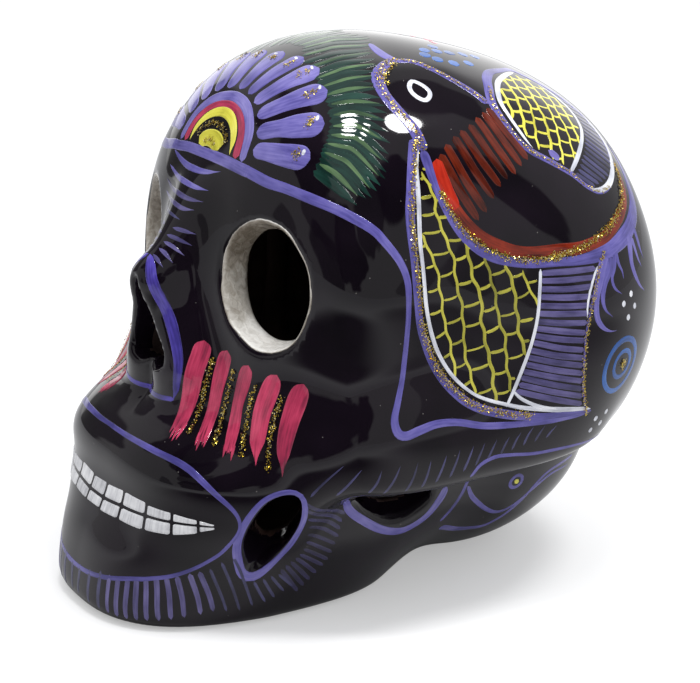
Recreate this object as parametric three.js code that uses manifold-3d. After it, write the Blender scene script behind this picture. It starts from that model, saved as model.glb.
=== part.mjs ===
// Sugar skull: a hollow, press-moulded clay skull with its decoration laid on in raised paint.
// Millimetres, +Z up. The face looks along -Y and the skull's own left side is at +X.
// It stands on the flat foot under its jaw, at height zero.

import * as THREE from 'three';
import { mergeVertices } from 'three/addons/utils/BufferGeometryUtils.js';
import Module from 'manifold-3d';

const wasm = await Module();
wasm.setup();

// Driving sizes of the skull
const skull_width = 114;
const skull_length = 148;
const skull_height = 129;
const clay_wall = 6;
const balance_shift = -0.15;
const heart_height_share = 0.4265;

// Clearances
const seam_gap = 0.3;
const paint_gap = 0.3;

// Cheekbone shelf that runs back from the cheek, and how softly the masses meet
const shelf_height = 34.2;
const shelf_slope = 0.03;
const shelf_lift = 5;
const shelf_edge_blend = 5;
const jaw_blend = 6;
const cheek_blend = 18;
const shelf_start_share = -0.2;
const shelf_lift_shares = [-0.23, -0.34];
const cheek_blend_shares = [-0.15, -0.31];
const foot_edge_blend = 3;

// Nose
const nose_top_radius = 4.3;
const nose_tip_radius = 5.4;
const nose_side_radius = 6;
const nose_own_blend = 4;
const nose_face_blend = 12;
const nose_top_shares = [0, -0.29, 0.69];
const nose_tip_shares = [0, -0.36, 0.58];
const nose_side_shares = [0.11, -0.335, 0.44];

// Grooves round the mouth and over the chin
const lip_groove = { depth: 1.5, width: 5, drop: 0.95, height_share: 0.24 };
const chin_groove = { depth: 2.5, width: 6.5, drop: 2, height_share: 0.073 };
const groove_centre_share = -0.23;
const groove_fade_angles = [0.75, 1.5];

// Eye openings, cut as cones that look a little outward and upward
const eye = {
  half_width: 12.3,
  half_height: 14.5,
  taper_share: 0.246,
  reach_in: 16,
  reach_out: 12,
  outward_angle: 22,
  upward_angle: 8,
  lean_angle: 20,
  step_count: 40,
  centre_shares: [0.475, -0.288, 0.612],
};
const lining_thickness = 0.8;
const lining_rim = 0.4;

// Paint
const paint_thickness = 0.5;
const stroke_thickness = 0.7;
const thin_line_width = 1.6;
const liner_width = 2.4;
const broad_line_width = 3.2;
const cheek_stroke_width = 4.2;
const border_line_width = 2.2;
const ring_line_width = 0.9;
const fine_end_share = 0.3;

// Teeth
const tooth = {
  upper_height: 3.2,
  lower_height: 2.3,
  row_gap: 0.5,
  relief: 0.6,
  web: 0.25,
  gap_angle: 0.9,
  taper_share: 0.333,
  bite_angles: [-23.35, -22.9],
  end_angle: 30,
};

// Forehead rosette, as rings round a point on the brow
const rosette = {
  centre_angles: [0, 50],
  core_radius: 5,
  core_start_angle: 14,
  ring_start_angle: 4,
  crescent_radius: 9.6,
  crescent_width: 2.2,
  arc_radius: 11.9,
  arc_width: 1.5,
  ring_radius: 14.3,
  ring_width: 2.1,
  petal_start: 16,
  petal_end: 30.5,
  petal_width: 5.6,
  petal_base_share: 0.4,
  petal_tip_share: 0.29,
  petal_count: 11,
  petal_span_angle: 170,
  base_half_length: 17,
};

// Clay coil pressed along the inside of the seam
const seam_share = 0.04;
const coil_width = 8;
const coil_thickness = 2.5;
const coil_step_count = 36;

// Fineness of the faceted skins
const outer_detail_count = 16;
const inner_detail_count = 8;
const halving_count = 44;
const ring_stop_count = 10;

const half_width = skull_width / 2;
const heart = new THREE.Vector3(0, 0, heart_height_share * skull_height);
const far_away = skull_width + skull_length + skull_height;

const colours = {
  clay: { color: 0x0e0c11, roughness: 0.12, metalness: 0 },
  bare_clay: { color: 0x9a5a3c, roughness: 0.9, metalness: 0 },
  white: { color: 0xe6e4de, roughness: 0.5, metalness: 0 },
  purple: { color: 0x6f62bd, roughness: 0.3, metalness: 0 },
  raspberry: { color: 0xc43b62, roughness: 0.3, metalness: 0 },
  yellow: { color: 0xd8cc50, roughness: 0.3, metalness: 0 },
  red: { color: 0xb0402c, roughness: 0.3, metalness: 0 },
  blue: { color: 0x2f6ab5, roughness: 0.3, metalness: 0 },
};

// The masses that the skull is modelled from. Centres and reaches are shares of half the width, the
// length and the height; blend is a share of the length, and power squares the plan section off.
const upper_masses = [
  {
    name: 'cranium',
    centre_shares: [0, 0.175, 0.525],
    reach_shares: [0.975, 0.325, 0.425],
    blend_share: 0.1,
    power: 2,
  },
  {
    name: 'forehead',
    centre_shares: [0, -0.04, 0.72],
    reach_shares: [0.78, 0.255, 0.28],
    blend_share: 0.135,
    power: 2.4,
  },
  {
    name: 'temple',
    centre_shares: [0.375, 0.085, 0.49],
    reach_shares: [0.43, 0.28, 0.195],
    blend_share: 0.15,
    power: 2,
  },
  {
    name: 'orbit',
    centre_shares: [0.415, -0.15, 0.59],
    reach_shares: [0.415, 0.09, 0.165],
    blend_share: 0.12,
    power: 2.4,
  },
  {
    name: 'cheek',
    centre_shares: [0.54, -0.115, 0.365],
    reach_shares: [0.32, 0.09, 0.12],
    blend_share: 0.12,
    power: 2.2,
  },
  {
    name: 'arch',
    centre_shares: [0.72, -0.005, 0.305],
    reach_shares: [0.205, 0.215, 0.115],
    blend_share: 0.11,
    power: 2,
  },
];
const lower_masses = [
  {
    name: 'face',
    centre_shares: [0, -0.13, 0.445],
    reach_shares: [0.595, 0.15, 0.25],
    blend_share: 0.1,
    power: 2.6,
  },
  {
    name: 'muzzle',
    centre_shares: [0, -0.225, 0.245],
    reach_shares: [0.66, 0.235, 0.16],
    blend_share: 0.095,
    power: 2.8,
  },
  {
    name: 'jaw',
    centre_shares: [0, -0.23, 0.065],
    reach_shares: [0.545, 0.28, 0.16],
    blend_share: 0.095,
    power: 2.6,
  },
  {
    name: 'ramus',
    centre_shares: [0.435, -0.07, 0.245],
    reach_shares: [0.225, 0.15, 0.145],
    blend_share: 0.11,
    power: 2,
  },
  {
    name: 'base',
    centre_shares: [0, 0.175, 0.27],
    reach_shares: [0.62, 0.28, 0.275],
    blend_share: 0.095,
    power: 2,
  },
];

function from_shares(shares) {
  return [shares[0] * half_width, shares[1] * skull_length, shares[2] * skull_height];
}

function sized(masses) {
  return masses.map((mass) => ({
    centre: from_shares(mass.centre_shares),
    reach: from_shares(mass.reach_shares),
    blend: mass.blend_share * skull_length,
    power: mass.power,
  }));
}

const upper = sized(upper_masses);
const lower = sized(lower_masses);
const nose_top = from_shares(nose_top_shares);
const nose_tip = from_shares(nose_tip_shares);
const nose_side = from_shares(nose_side_shares);

// Smallest of two distances, rounded off over a blend length
function soft_min(a, b, blend) {
  const h = Math.max(blend - Math.abs(a - b), 0) / blend;
  return Math.min(a, b) - (h * h * blend) / 4;
}

function soft_max(a, b, blend) {
  return -soft_min(-a, -b, blend);
}

function smooth_step(from, to, value) {
  const t = Math.min(Math.max((value - from) / (to - from), 0), 1);
  return t * t * (3 - 2 * t);
}

// Distance to a mass: |(x, y)| is a power norm in plan, and plan and height join as in an ellipsoid
function mass_distance(mass, p) {
  const tiny = 1e-6;
  const u = p.map((value, axis) => Math.abs(value - mass.centre[axis]) / mass.reach[axis] + tiny);
  const plan = (u[0] ** mass.power + u[1] ** mass.power) ** (1 / mass.power);
  const size = Math.hypot(plan, u[2]);
  const lean = plan ** (2 - mass.power);
  const slope_x = (lean * u[0] ** (mass.power - 1)) / mass.reach[0];
  const slope_y = (lean * u[1] ** (mass.power - 1)) / mass.reach[1];
  return ((size - 1) * size) / Math.hypot(slope_x, slope_y, u[2] / mass.reach[2]);
}

function joined_distance(masses, p) {
  let distance = mass_distance(masses[0], p);
  for (const mass of masses.slice(1)) {
    distance = soft_min(distance, mass_distance(mass, p), mass.blend);
  }
  return distance;
}

// Distance to a rod from a to b whose radius runs from start to end
function rod_distance(p, a, b, start, end) {
  const along = b.map((value, axis) => value - a[axis]);
  const from_a = p.map((value, axis) => value - a[axis]);
  const dot = from_a[0] * along[0] + from_a[1] * along[1] + from_a[2] * along[2];
  const t = Math.min(Math.max(dot / (along[0] ** 2 + along[1] ** 2 + along[2] ** 2), 0), 1);
  const away = Math.hypot(...from_a.map((value, axis) => value - t * along[axis]));
  return away - (start + (end - start) * t);
}

// How deep a groove is at a place: a bell curve in height that sinks and fades round the side
function groove_depth(groove, side_angle, z) {
  const middle = groove.height_share * skull_height - groove.drop * side_angle ** 2;
  const fade = 1 - smooth_step(groove_fade_angles[0], groove_fade_angles[1], side_angle);
  return groove.depth * fade * Math.exp(-(((z - middle) / groove.width) ** 2));
}

// Distance from a point to the outside of the skull: below zero inside the clay or the hollow
function skull_distance(x, y, z) {
  const p = [Math.abs(x), y, z];
  const y_share = y / skull_length;
  const lift = shelf_lift * smooth_step(...shelf_lift_shares, y_share);
  const shelf = shelf_height + shelf_slope * (y - shelf_start_share * skull_length) + lift;
  const above = soft_max(joined_distance(upper, p), shelf - z, shelf_edge_blend);
  const forward = smooth_step(...cheek_blend_shares, y_share);
  let distance = soft_min(above, joined_distance(lower, p), jaw_blend + cheek_blend * forward);
  const bridge = rod_distance(p, nose_top, nose_tip, nose_top_radius, nose_tip_radius);
  const side = rod_distance(p, nose_tip, nose_side, nose_tip_radius, nose_side_radius);
  distance = soft_min(distance, soft_min(bridge, side, nose_own_blend), nose_face_blend);
  const side_angle = Math.atan2(p[0], groove_centre_share * skull_length - y);
  distance += groove_depth(lip_groove, side_angle, z) + groove_depth(chin_groove, side_angle, z);
  return soft_max(distance, -z, foot_edge_blend);
}

// The point along a ray where the distance reaches a level, found by halving
function cross_level(start, direction, level, near, far) {
  let low = near;
  let high = far;
  for (let step = 0; step < halving_count; step += 1) {
    const middle = (low + high) / 2;
    const p = start.clone().addScaledVector(direction, middle);
    if (skull_distance(p.x, p.y, p.z) < level) {
      low = middle;
    } else {
      high = middle;
    }
  }
  return start.clone().addScaledVector(direction, low);
}

// Closed skin at a level: every point of a ball is moved along its ray from the heart of the skull
function skin_geometry(level, detail) {
  const ball = new THREE.IcosahedronGeometry(1, detail);
  ball.deleteAttribute('normal');
  ball.deleteAttribute('uv');
  const skin = mergeVertices(ball);
  const place = skin.getAttribute('position');
  for (let i = 0; i < place.count; i += 1) {
    const direction = new THREE.Vector3().fromBufferAttribute(place, i).normalize();
    const p = cross_level(heart, direction, level, 0, far_away);
    place.setXYZ(i, p.x, p.y, p.z);
  }
  return skin;
}

function to_solid(geometry) {
  const mesh = new wasm.Mesh({
    numProp: 3,
    vertProperties: new Float32Array(geometry.getAttribute('position').array),
    triVerts: new Uint32Array(geometry.getIndex().array),
  });
  return new wasm.Manifold(mesh);
}

function to_geometry(solid) {
  const mesh = solid.getMesh();
  const geometry = new THREE.BufferGeometry();
  geometry.setAttribute('position', new THREE.BufferAttribute(mesh.vertProperties, 3));
  geometry.setIndex(new THREE.BufferAttribute(mesh.triVerts, 1));
  return geometry;
}

// Solid through a row of like sections: each is a ring of points, and a closed row has no caps
function sweep_geometry(sections, closed) {
  const ring = sections[0].length;
  const points = sections.flat();
  const index = [];
  const spans = closed ? sections.length : sections.length - 1;
  for (let i = 0; i < spans; i += 1) {
    const here = i * ring;
    const next = ((i + 1) % sections.length) * ring;
    for (let j = 0; j < ring; j += 1) {
      const k = (j + 1) % ring;
      index.push(here + j, here + k, next + k, here + j, next + k, next + j);
    }
  }
  if (!closed) {
    const last = (sections.length - 1) * ring;
    for (let j = 1; j < ring - 1; j += 1) {
      index.push(0, j + 1, j, last, last + j, last + j + 1);
    }
  }
  const geometry = new THREE.BufferGeometry().setFromPoints(points);
  geometry.setIndex(signed_volume(points, index) < 0 ? index.reverse() : index);
  return geometry;
}

function signed_volume(points, index) {
  let volume = 0;
  for (let i = 0; i < index.length; i += 3) {
    const [a, b, c] = [points[index[i]], points[index[i + 1]], points[index[i + 2]]];
    volume += a.dot(b.clone().cross(c));
  }
  return volume;
}

// Direction from the heart: degrees round to the left from the face, and degrees up
function direction_of(round, up) {
  const a = THREE.MathUtils.degToRad(round);
  const b = THREE.MathUtils.degToRad(up);
  return new THREE.Vector3(Math.sin(a) * Math.cos(b), -Math.cos(a) * Math.cos(b), Math.sin(b));
}

// The same two angles of a direction
function angles_of(direction) {
  const round = Math.atan2(direction.x, -direction.y);
  const up = Math.asin(direction.z / direction.length());
  return [THREE.MathUtils.radToDeg(round), THREE.MathUtils.radToDeg(up)];
}

const outer_skin = skin_geometry(0, outer_detail_count);
const inner_skin = skin_geometry(-clay_wall, inner_detail_count);
const both_sides = new THREE.MeshBasicMaterial({ side: THREE.DoubleSide });
const outer_mesh = new THREE.Mesh(outer_skin, both_sides);
const inner_mesh = new THREE.Mesh(inner_skin, both_sides);
const caster = new THREE.Raycaster();

// Where a ray meets a faceted skin
function meet(mesh, start, direction) {
  caster.set(start, direction.clone().normalize());
  return caster.intersectObject(mesh)[0].point;
}

// The bed that paint keeps clear of: the outer skin, grown by half the paint's gap
function grown_skin() {
  const bed = outer_skin.clone();
  const place = bed.getAttribute('position');
  for (let i = 0; i < place.count; i += 1) {
    const p = new THREE.Vector3().fromBufferAttribute(place, i);
    p.addScaledVector(normal_at(p), paint_gap / 2);
    place.setXYZ(i, p.x, p.y, p.z);
  }
  return to_solid(bed);
}

const paint_bed = grown_skin();

// The point of the outer skin in a direction from the heart
function on_skin(direction) {
  return meet(outer_mesh, heart, direction);
}

function normal_at(p) {
  const nudge = clay_wall / 20;
  const slope = [0, 1, 2].map((axis) => {
    const ahead = p.clone().setComponent(axis, p.getComponent(axis) + nudge);
    const behind = p.clone().setComponent(axis, p.getComponent(axis) - nudge);
    return skull_distance(...ahead.toArray()) - skull_distance(...behind.toArray());
  });
  return new THREE.Vector3(...slope).normalize();
}

// A smooth route on the skin through directions given as [round, up] in degrees
function route(stops, steps, closed = false) {
  const curve = new THREE.CatmullRomCurve3(
    stops.map(([round, up]) => new THREE.Vector3(round, up, 0)),
    closed,
    'centripetal',
  );
  const points = closed ? curve.getPoints(steps).slice(0, -1) : curve.getPoints(steps);
  return points.map((point) => on_skin(direction_of(point.x, point.y)));
}

// Raised paint along a route. width(t) and thickness(t) run with t from 0 to 1, and aside(t) moves
// the line sideways on the skin.
function paint_line(points, width, thickness, closed = false, aside = () => 0) {
  const last = points.length - 1;
  const sections = points.map((point, i) => {
    const before = closed ? points[(i + last) % points.length] : points[Math.max(i - 1, 0)];
    const after = closed ? points[(i + 1) % points.length] : points[Math.min(i + 1, last)];
    const normal = normal_at(point);
    const side = normal.clone().cross(after.clone().sub(before)).normalize();
    const t = i / last;
    const edges = [aside(t) - width(t) / 2, aside(t) + width(t) / 2].map((reach) => {
      const near = point.clone().addScaledVector(side, reach);
      return on_skin(near.sub(heart));
    });
    const low = edges.map((edge) => edge.clone().addScaledVector(normal, paint_gap));
    const high = edges.map((edge) => edge.clone().addScaledVector(normal, paint_gap + thickness(t)));
    return [low[0], low[1], high[1], high[0]];
  });
  return to_geometry(to_solid(sweep_geometry(sections, closed)).subtract(paint_bed));
}

const level_paint = () => paint_thickness;
const even = (width) => () => width;

// A brush stroke's width: full along its middle and finer at both ends
function brushed(width) {
  return (t) => width * (fine_end_share + (1 - fine_end_share) * Math.sqrt(Math.sin(Math.PI * t)));
}

function mirrored(stops) {
  return stops.map(([round, up]) => [-round, up]);
}

// What is on both sides is drawn for the left and mirrored for the right
const sides = [
  ['left', 1, (stops) => stops],
  ['right', -1, mirrored],
];

const model = new THREE.Group();

function add_piece(name, geometry, colour) {
  const piece = new THREE.Mesh(geometry, new THREE.MeshStandardMaterial(colours[colour]));
  piece.name = name;
  piece.position.y = balance_shift;
  model.add(piece);
}

// Openings. Each outline is a ring of directions, and its cutter is a wedge along them.
const nose_stops = [[0, 20], [2.6, 15.5], [5, 10.5], [7.4, 6], [7.6, 2.6], [4, 1], [0, 2.4]];
const nose_outline = nose_stops.concat(mirrored(nose_stops.slice(1, -1)).reverse());
const jaw_hole = [
  [46, -19], [41, -19.5], [37, -24], [34.5, -30],
  [34.5, -36], [38, -36], [42.5, -32], [46, -25],
];
const shelf_hole = [
  [59, -26], [66, -29], [74, -31.5], [87, -34],
  [87.5, -37.5], [80, -39], [71, -37.5], [63, -32],
];

function wedge_geometry(outline) {
  const directions = outline.map(([round, up]) => direction_of(round, up));
  const ring_at = (reach) => directions.map((d) => heart.clone().addScaledVector(d, reach));
  return sweep_geometry([ring_at(heart.z / 3), ring_at(far_away)], false);
}

// Frame of an eye cone: its axis, and the leaning width and height directions across it
function eye_frame(side) {
  const [x, y, z] = from_shares(eye.centre_shares);
  const axis = direction_of(side * eye.outward_angle, eye.upward_angle);
  const level = new THREE.Vector3(0, 0, 1).cross(axis).normalize();
  const across = level.applyAxisAngle(axis, side * THREE.MathUtils.degToRad(eye.lean_angle));
  const up = axis.clone().cross(across);
  return { centre: new THREE.Vector3(side * x, y, z), axis, across, up };
}

function eye_point(frame, angle, reach, inset) {
  const grown = 1 + (eye.taper_share * reach) / eye.half_width;
  return frame.centre
    .clone()
    .addScaledVector(frame.axis, reach)
    .addScaledVector(frame.across, (eye.half_width * grown - inset) * Math.cos(angle))
    .addScaledVector(frame.up, (eye.half_height * grown - inset) * Math.sin(angle));
}

function turn_angles(steps) {
  return Array.from({ length: steps }, (_, i) => (2 * Math.PI * i) / steps);
}

function eye_cutter(side) {
  const frame = eye_frame(side);
  const rings = [-eye.reach_in, eye.reach_out].map((reach) =>
    turn_angles(eye.step_count).map((angle) => eye_point(frame, angle, reach, 0)),
  );
  return sweep_geometry(rings, false);
}

// White lining of an eye opening: a thin sleeve from the outer skin to the inner one
function eye_lining(side) {
  const frame = eye_frame(side);
  const sections = turn_angles(eye.step_count).map((angle) => {
    const spot = (reach, inset) => eye_point(frame, angle, reach, inset);
    const inside = spot(-eye.reach_in, paint_gap);
    const run = spot(eye.reach_out, paint_gap).sub(inside);
    const length = run.length();
    run.normalize();
    const back = cross_level(inside, run, -clay_wall + paint_gap, 0, length);
    const front = cross_level(inside, run, lining_rim, 0, length);
    const inward = frame.centre.clone().sub(back);
    inward.addScaledVector(frame.axis, -inward.dot(frame.axis)).setLength(lining_thickness);
    return [back, front, front.clone().add(inward), back.clone().add(inward)];
  });
  return sweep_geometry(sections, true);
}

// Clay shell, cut by its openings and parted across behind the shelf holes
const outlines = [nose_outline, jaw_hole, mirrored(jaw_hole), shelf_hole, mirrored(shelf_hole)];
const cutters = [...outlines.map(wedge_geometry), eye_cutter(1), eye_cutter(-1)];
let shell = to_solid(outer_skin).subtract(to_solid(inner_skin));
for (const cutter of cutters) {
  shell = shell.subtract(to_solid(cutter));
}

const seam_y = seam_share * skull_length;

// Block that holds everything on one side of the seam
function half_space(sign) {
  const block = new THREE.BoxGeometry(far_away, far_away, far_away);
  block.translate(0, seam_y + sign * (far_away / 2 + seam_gap / 2), heart.z);
  block.deleteAttribute('normal');
  block.deleteAttribute('uv');
  return to_solid(mergeVertices(block));
}

add_piece('front_half', to_geometry(shell.intersect(half_space(-1))), 'clay');
add_piece('back_half', to_geometry(shell.intersect(half_space(1))), 'clay');

// Seam coil: a flat ring of clay inside the wall and over the seam, clear of the nearest facet
const coil_angle = (2 * Math.PI) / coil_step_count;

function coil_spot(angle, across, reach) {
  const direction = new THREE.Vector3(Math.sin(angle), 0, Math.cos(angle));
  const start = new THREE.Vector3(0, seam_y + (across * coil_width) / 2, heart.z);
  return { start, direction, end: start.clone().addScaledVector(direction, reach) };
}

const nearby_shares = [-1, -0.5, 0, 0.5, 1];
const coil_sections = turn_angles(coil_step_count).map((angle) => {
  const reaches = nearby_shares.flatMap((turn) =>
    nearby_shares.map((across) => {
      const ray = coil_spot(angle + turn * coil_angle, across, 0);
      return meet(inner_mesh, ray.start, ray.direction).distanceTo(ray.start);
    }),
  );
  const outside = Math.min(...reaches) - seam_gap;
  const inside = outside - coil_thickness;
  const corners = [[-1, outside], [1, outside], [1, inside], [-1, inside]];
  return corners.map(([across, reach]) => coil_spot(angle, across, reach).end);
});
add_piece('seam_coil', sweep_geometry(coil_sections, true), 'bare_clay');

add_piece('eye_lining_left', eye_lining(1), 'white');
add_piece('eye_lining_right', eye_lining(-1), 'white');

// Teeth: a white band for each row, thinned to a web at the gap between two teeth
const tooth_edge_angles = [-27, -21, -15, -9, -3, 3, 9, 15, 21, 27];

// A row lies on one side of the bite line and tapers towards it at both ends
function tooth_row(out, height) {
  const half_gap = tooth.gap_angle / 2;
  const rounds = [-tooth.end_angle];
  const reliefs = [tooth.relief];
  for (const edge of tooth_edge_angles) {
    rounds.push(edge - half_gap, edge - half_gap / 2, edge + half_gap / 2, edge + half_gap);
    reliefs.push(tooth.relief, tooth.web, tooth.web, tooth.relief);
  }
  rounds.push(tooth.end_angle);
  reliefs.push(tooth.relief);
  const [middle, end] = tooth.bite_angles;
  const points = rounds.map((round) => {
    const t = (round / tooth.end_angle) ** 2;
    return on_skin(direction_of(round, middle + (end - middle) * t));
  });
  const taper = (t) => height * Math.min(1, fine_end_share + Math.min(t, 1 - t) / tooth.taper_share);
  const relief = (t) => reliefs[Math.round(t * (reliefs.length - 1))];
  return paint_line(points, taper, relief, false, (t) => (out * (taper(t) + tooth.row_gap)) / 2);
}

add_piece('teeth_upper', tooth_row(1, tooth.upper_height), 'white');
add_piece('teeth_lower', tooth_row(-1, tooth.lower_height), 'white');

// Frames round the mouth and the nose
const mouth_half = [[0, -12], [14, -12], [25, -13.5], [33, -19], [35, -24], [31, -29], [20, -32], [0, -32]];
const mouth_loop = mouth_half.concat(mirrored(mouth_half.slice(1, -1)).reverse());
const mouth_line = paint_line(route(mouth_loop, 88, true), even(thin_line_width), level_paint, true);
add_piece('mouth_frame', mouth_line, 'purple');

const nose_half = [[0, 25], [4, 22], [6.5, 17], [10, 11], [12.5, 4], [12, -4], [6, -4.5], [0, -3]];
const nose_loop = nose_half.concat(mirrored(nose_half.slice(1, -1)).reverse());
const nose_line = paint_line(route(nose_loop, 34, true), even(thin_line_width), level_paint, true);
add_piece('nose_frame', nose_line, 'purple');

// Five raspberry strokes down each cheek
const cheek_strokes = [
  [[16.5, 9.5], [16.3, 1], [17.5, -9.5]],
  [[24, 8.5], [22.5, -1.5], [24.7, -10]],
  [[32, 7], [30, -3], [31.5, -11]],
  [[40, 6], [36.5, -3], [38, -13]],
  [[47.5, 5], [44.5, -5], [43, -14]],
];
for (const [side, , mirror] of sides) {
  cheek_strokes.forEach((stops, i) => {
    const line = paint_line(route(mirror(stops), 8), brushed(cheek_stroke_width), () => stroke_thickness);
    add_piece(`cheek_stroke_${side}_${i + 1}`, line, 'raspberry');
  });
}

// Borders of the side holes: a ring round the jaw hole and an open bow under the shelf hole
const shelf_bow = [[56.5, -23.5], [58, -29], [64, -35], [71, -39.8], [80, -43], [88, -42.5], [93.5, -38.5]];
for (const [side, out, mirror] of sides) {
  const aside = () => out * (border_line_width / 2 + paint_gap);
  const edge = route(mirror(jaw_hole), 28, true);
  const border = paint_line(edge, even(border_line_width), level_paint, true, aside);
  add_piece(`jaw_hole_border_${side}`, border, 'purple');
  const bow = paint_line(route(mirror(shelf_bow), 16), brushed(border_line_width), level_paint);
  add_piece(`shelf_hole_border_${side}`, bow, 'purple');
}

// Forehead rosette
const rosette_centre = on_skin(direction_of(...rosette.centre_angles));
const rosette_normal = normal_at(rosette_centre);
const rosette_across = new THREE.Vector3(1, 0, 0);
const rosette_up = rosette_normal.clone().cross(rosette_across);

function rosette_spot(across, up) {
  const p = rosette_centre.clone().addScaledVector(rosette_across, across).addScaledVector(rosette_up, up);
  return on_skin(p.sub(heart));
}

function rosette_point(degrees, radius) {
  const angle = THREE.MathUtils.degToRad(degrees);
  return rosette_spot(radius * Math.cos(angle), radius * Math.sin(angle));
}

// Half ring round the rosette's centre, starting and ending a few degrees above its base
function rosette_arc(radius, start, steps) {
  const turn = 180 - 2 * start;
  return Array.from({ length: steps + 1 }, (_, i) => rosette_point(start + (turn * i) / steps, radius));
}

function swelling(width) {
  return (t) => width * (fine_end_share + (1 - fine_end_share) * Math.sin(Math.PI * t));
}

const core_width = rosette.core_radius - 2 * paint_gap;
const crescent_width = swelling(rosette.crescent_width);
const rosette_rings = [
  ['core', rosette.core_radius / 2, rosette.core_start_angle, 10, even(core_width), 'yellow'],
  ['crescent', rosette.crescent_radius, rosette.ring_start_angle, 16, crescent_width, 'yellow'],
  ['arc', rosette.arc_radius, rosette.ring_start_angle, 18, even(rosette.arc_width), 'raspberry'],
  ['ring', rosette.ring_radius, rosette.ring_start_angle, 20, even(rosette.ring_width), 'purple'],
];
for (const [name, radius, start, steps, width, colour] of rosette_rings) {
  add_piece(`rosette_${name}`, paint_line(rosette_arc(radius, start, steps), width, level_paint), colour);
}

// A petal is narrow at the ring, widest near its tip and rounded off
function petal_width(t) {
  const swell = rosette.petal_base_share + (1 - rosette.petal_base_share) * t;
  return rosette.petal_width * swell * Math.min(1, fine_end_share + (1 - t) / rosette.petal_tip_share);
}

const petal_shares = [0, 0.2, 0.4, 0.6, 0.8, 1];
const petal_step = rosette.petal_span_angle / rosette.petal_count;
const petal_first = (180 - rosette.petal_span_angle + petal_step) / 2;
const petal_length = rosette.petal_end - rosette.petal_start;
for (let i = 0; i < rosette.petal_count; i += 1) {
  const degrees = petal_first + petal_step * i;
  const radii = petal_shares.map((share) => rosette.petal_start + petal_length * share);
  const points = radii.map((radius) => rosette_point(degrees, radius));
  add_piece(`rosette_petal_${i + 1}`, paint_line(points, petal_width, level_paint), 'purple');
}

// Brow lines: a base band under the rosette, then a line down each temple and back over the shelf
const base_drop = liner_width / 2 + paint_gap;
const base_shares = [-1, -0.75, -0.5, -0.25, 0, 0.25, 0.5, 0.75, 1];
const base_points = base_shares.map((share) => rosette_spot(share * rosette.base_half_length, -base_drop));
const brow_start = rosette_spot(rosette.base_half_length + 2 * paint_gap, -base_drop).sub(heart);
add_piece('rosette_base', paint_line(base_points, even(liner_width), level_paint), 'purple');
const brow_stops = [
  angles_of(brow_start), [31, 44.9], [38, 43.8], [51, 40.5], [60, 36.5], [66, 31], [68, 22],
  [68, 8], [67.5, -1], [70.5, -4], [85, -4.5], [104, -8.5], [117, -8.5],
];
for (const [side, , mirror] of sides) {
  const line = paint_line(route(mirror(brow_stops), 34), even(liner_width), level_paint);
  add_piece(`brow_line_${side}`, line, 'purple');
}

// A bird on each side of the crown: back, breast and tail line, and the edges of its two wings
const bird = {
  back: [[72, 73.6], [84, 73.6], [93, 71], [99, 67.8], [104, 64.2]],
  head: [[67, 71.6], [62, 69], [62.8, 65.5], [66, 62.4], [70.5, 59.6], [73, 56]],
  belly: [
    [76.5, 53], [78, 49], [81.6, 43], [86, 38.6], [92, 34.6],
    [99, 31.8], [109, 29.6], [118, 29.2], [127, 30.2], [136, 32],
  ],
  upper_wing: [
    [150, 63.5], [133, 66], [116.5, 64], [110, 61], [108.5, 57.6], [109.5, 53],
    [112, 49.6], [117, 46.2], [121.5, 42.6], [124, 39], [128, 36.8], [133, 36.8],
    [140, 38.4], [147, 41], [152, 47], [154, 55],
  ],
  lower_wing: [
    [71.8, 53], [70, 47.5], [69.2, 39], [70, 31], [71.4, 21], [73.6, 15],
    [77, 8.6], [81.5, 3.4], [87, -0.6], [94, -3], [103, -4.2], [112, -4],
    [117.6, -2], [116, 4], [114, 11], [115, 18], [117.6, 24.6],
  ],
};
const bird_parts = [
  ['back', bird.back, 12, thin_line_width, 'purple'],
  ['head', bird.head, 12, broad_line_width, 'purple'],
  ['belly', bird.belly, 18, broad_line_width, 'red'],
  ['upper_wing', bird.upper_wing, 30, thin_line_width, 'purple'],
  ['lower_wing', bird.lower_wing, 36, liner_width, 'purple'],
];
for (const [side, , mirror] of sides) {
  for (const [name, stops, steps, width, colour] of bird_parts) {
    const line = paint_line(route(mirror(stops), steps), even(width), level_paint);
    add_piece(`bird_${name}_${side}`, line, colour);
  }
}

// Small rings beside each bird: its white eye and a blue ring behind its wing
const small_rings = [
  { name: 'bird_eye', centre: [80, 65.3], reach: [5, 2.5], colour: 'white' },
  { name: 'blue_ring', centre: [126, 4.6], reach: [6.2, 6.4], colour: 'blue' },
];
for (const [side, , mirror] of sides) {
  for (const { name, centre, reach, colour } of small_rings) {
    const stops = turn_angles(ring_stop_count).map((angle) => [
      centre[0] + reach[0] * Math.cos(angle),
      centre[1] + reach[1] * Math.sin(angle),
    ]);
    const loop = route(mirror(stops), 2 * ring_stop_count, true);
    add_piece(`${name}_${side}`, paint_line(loop, even(ring_line_width), level_paint, true), colour);
  }
}

export default model;
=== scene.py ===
# %% [markdown]
# # A sugar skull of black pottery
# The real thing is a hollow clay skull, pressed in two halves, smoked black, painted by hand in
# bright colours and varnished until it shines like glass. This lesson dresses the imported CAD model
# of it. The shape comes first, as one function that says how far any point is from the clay, and
# everything else, from the teeth to the glitter, is laid on that same function.

# %% Load the frame
import bpy
import numpy as np
from mathutils import Matrix


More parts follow.
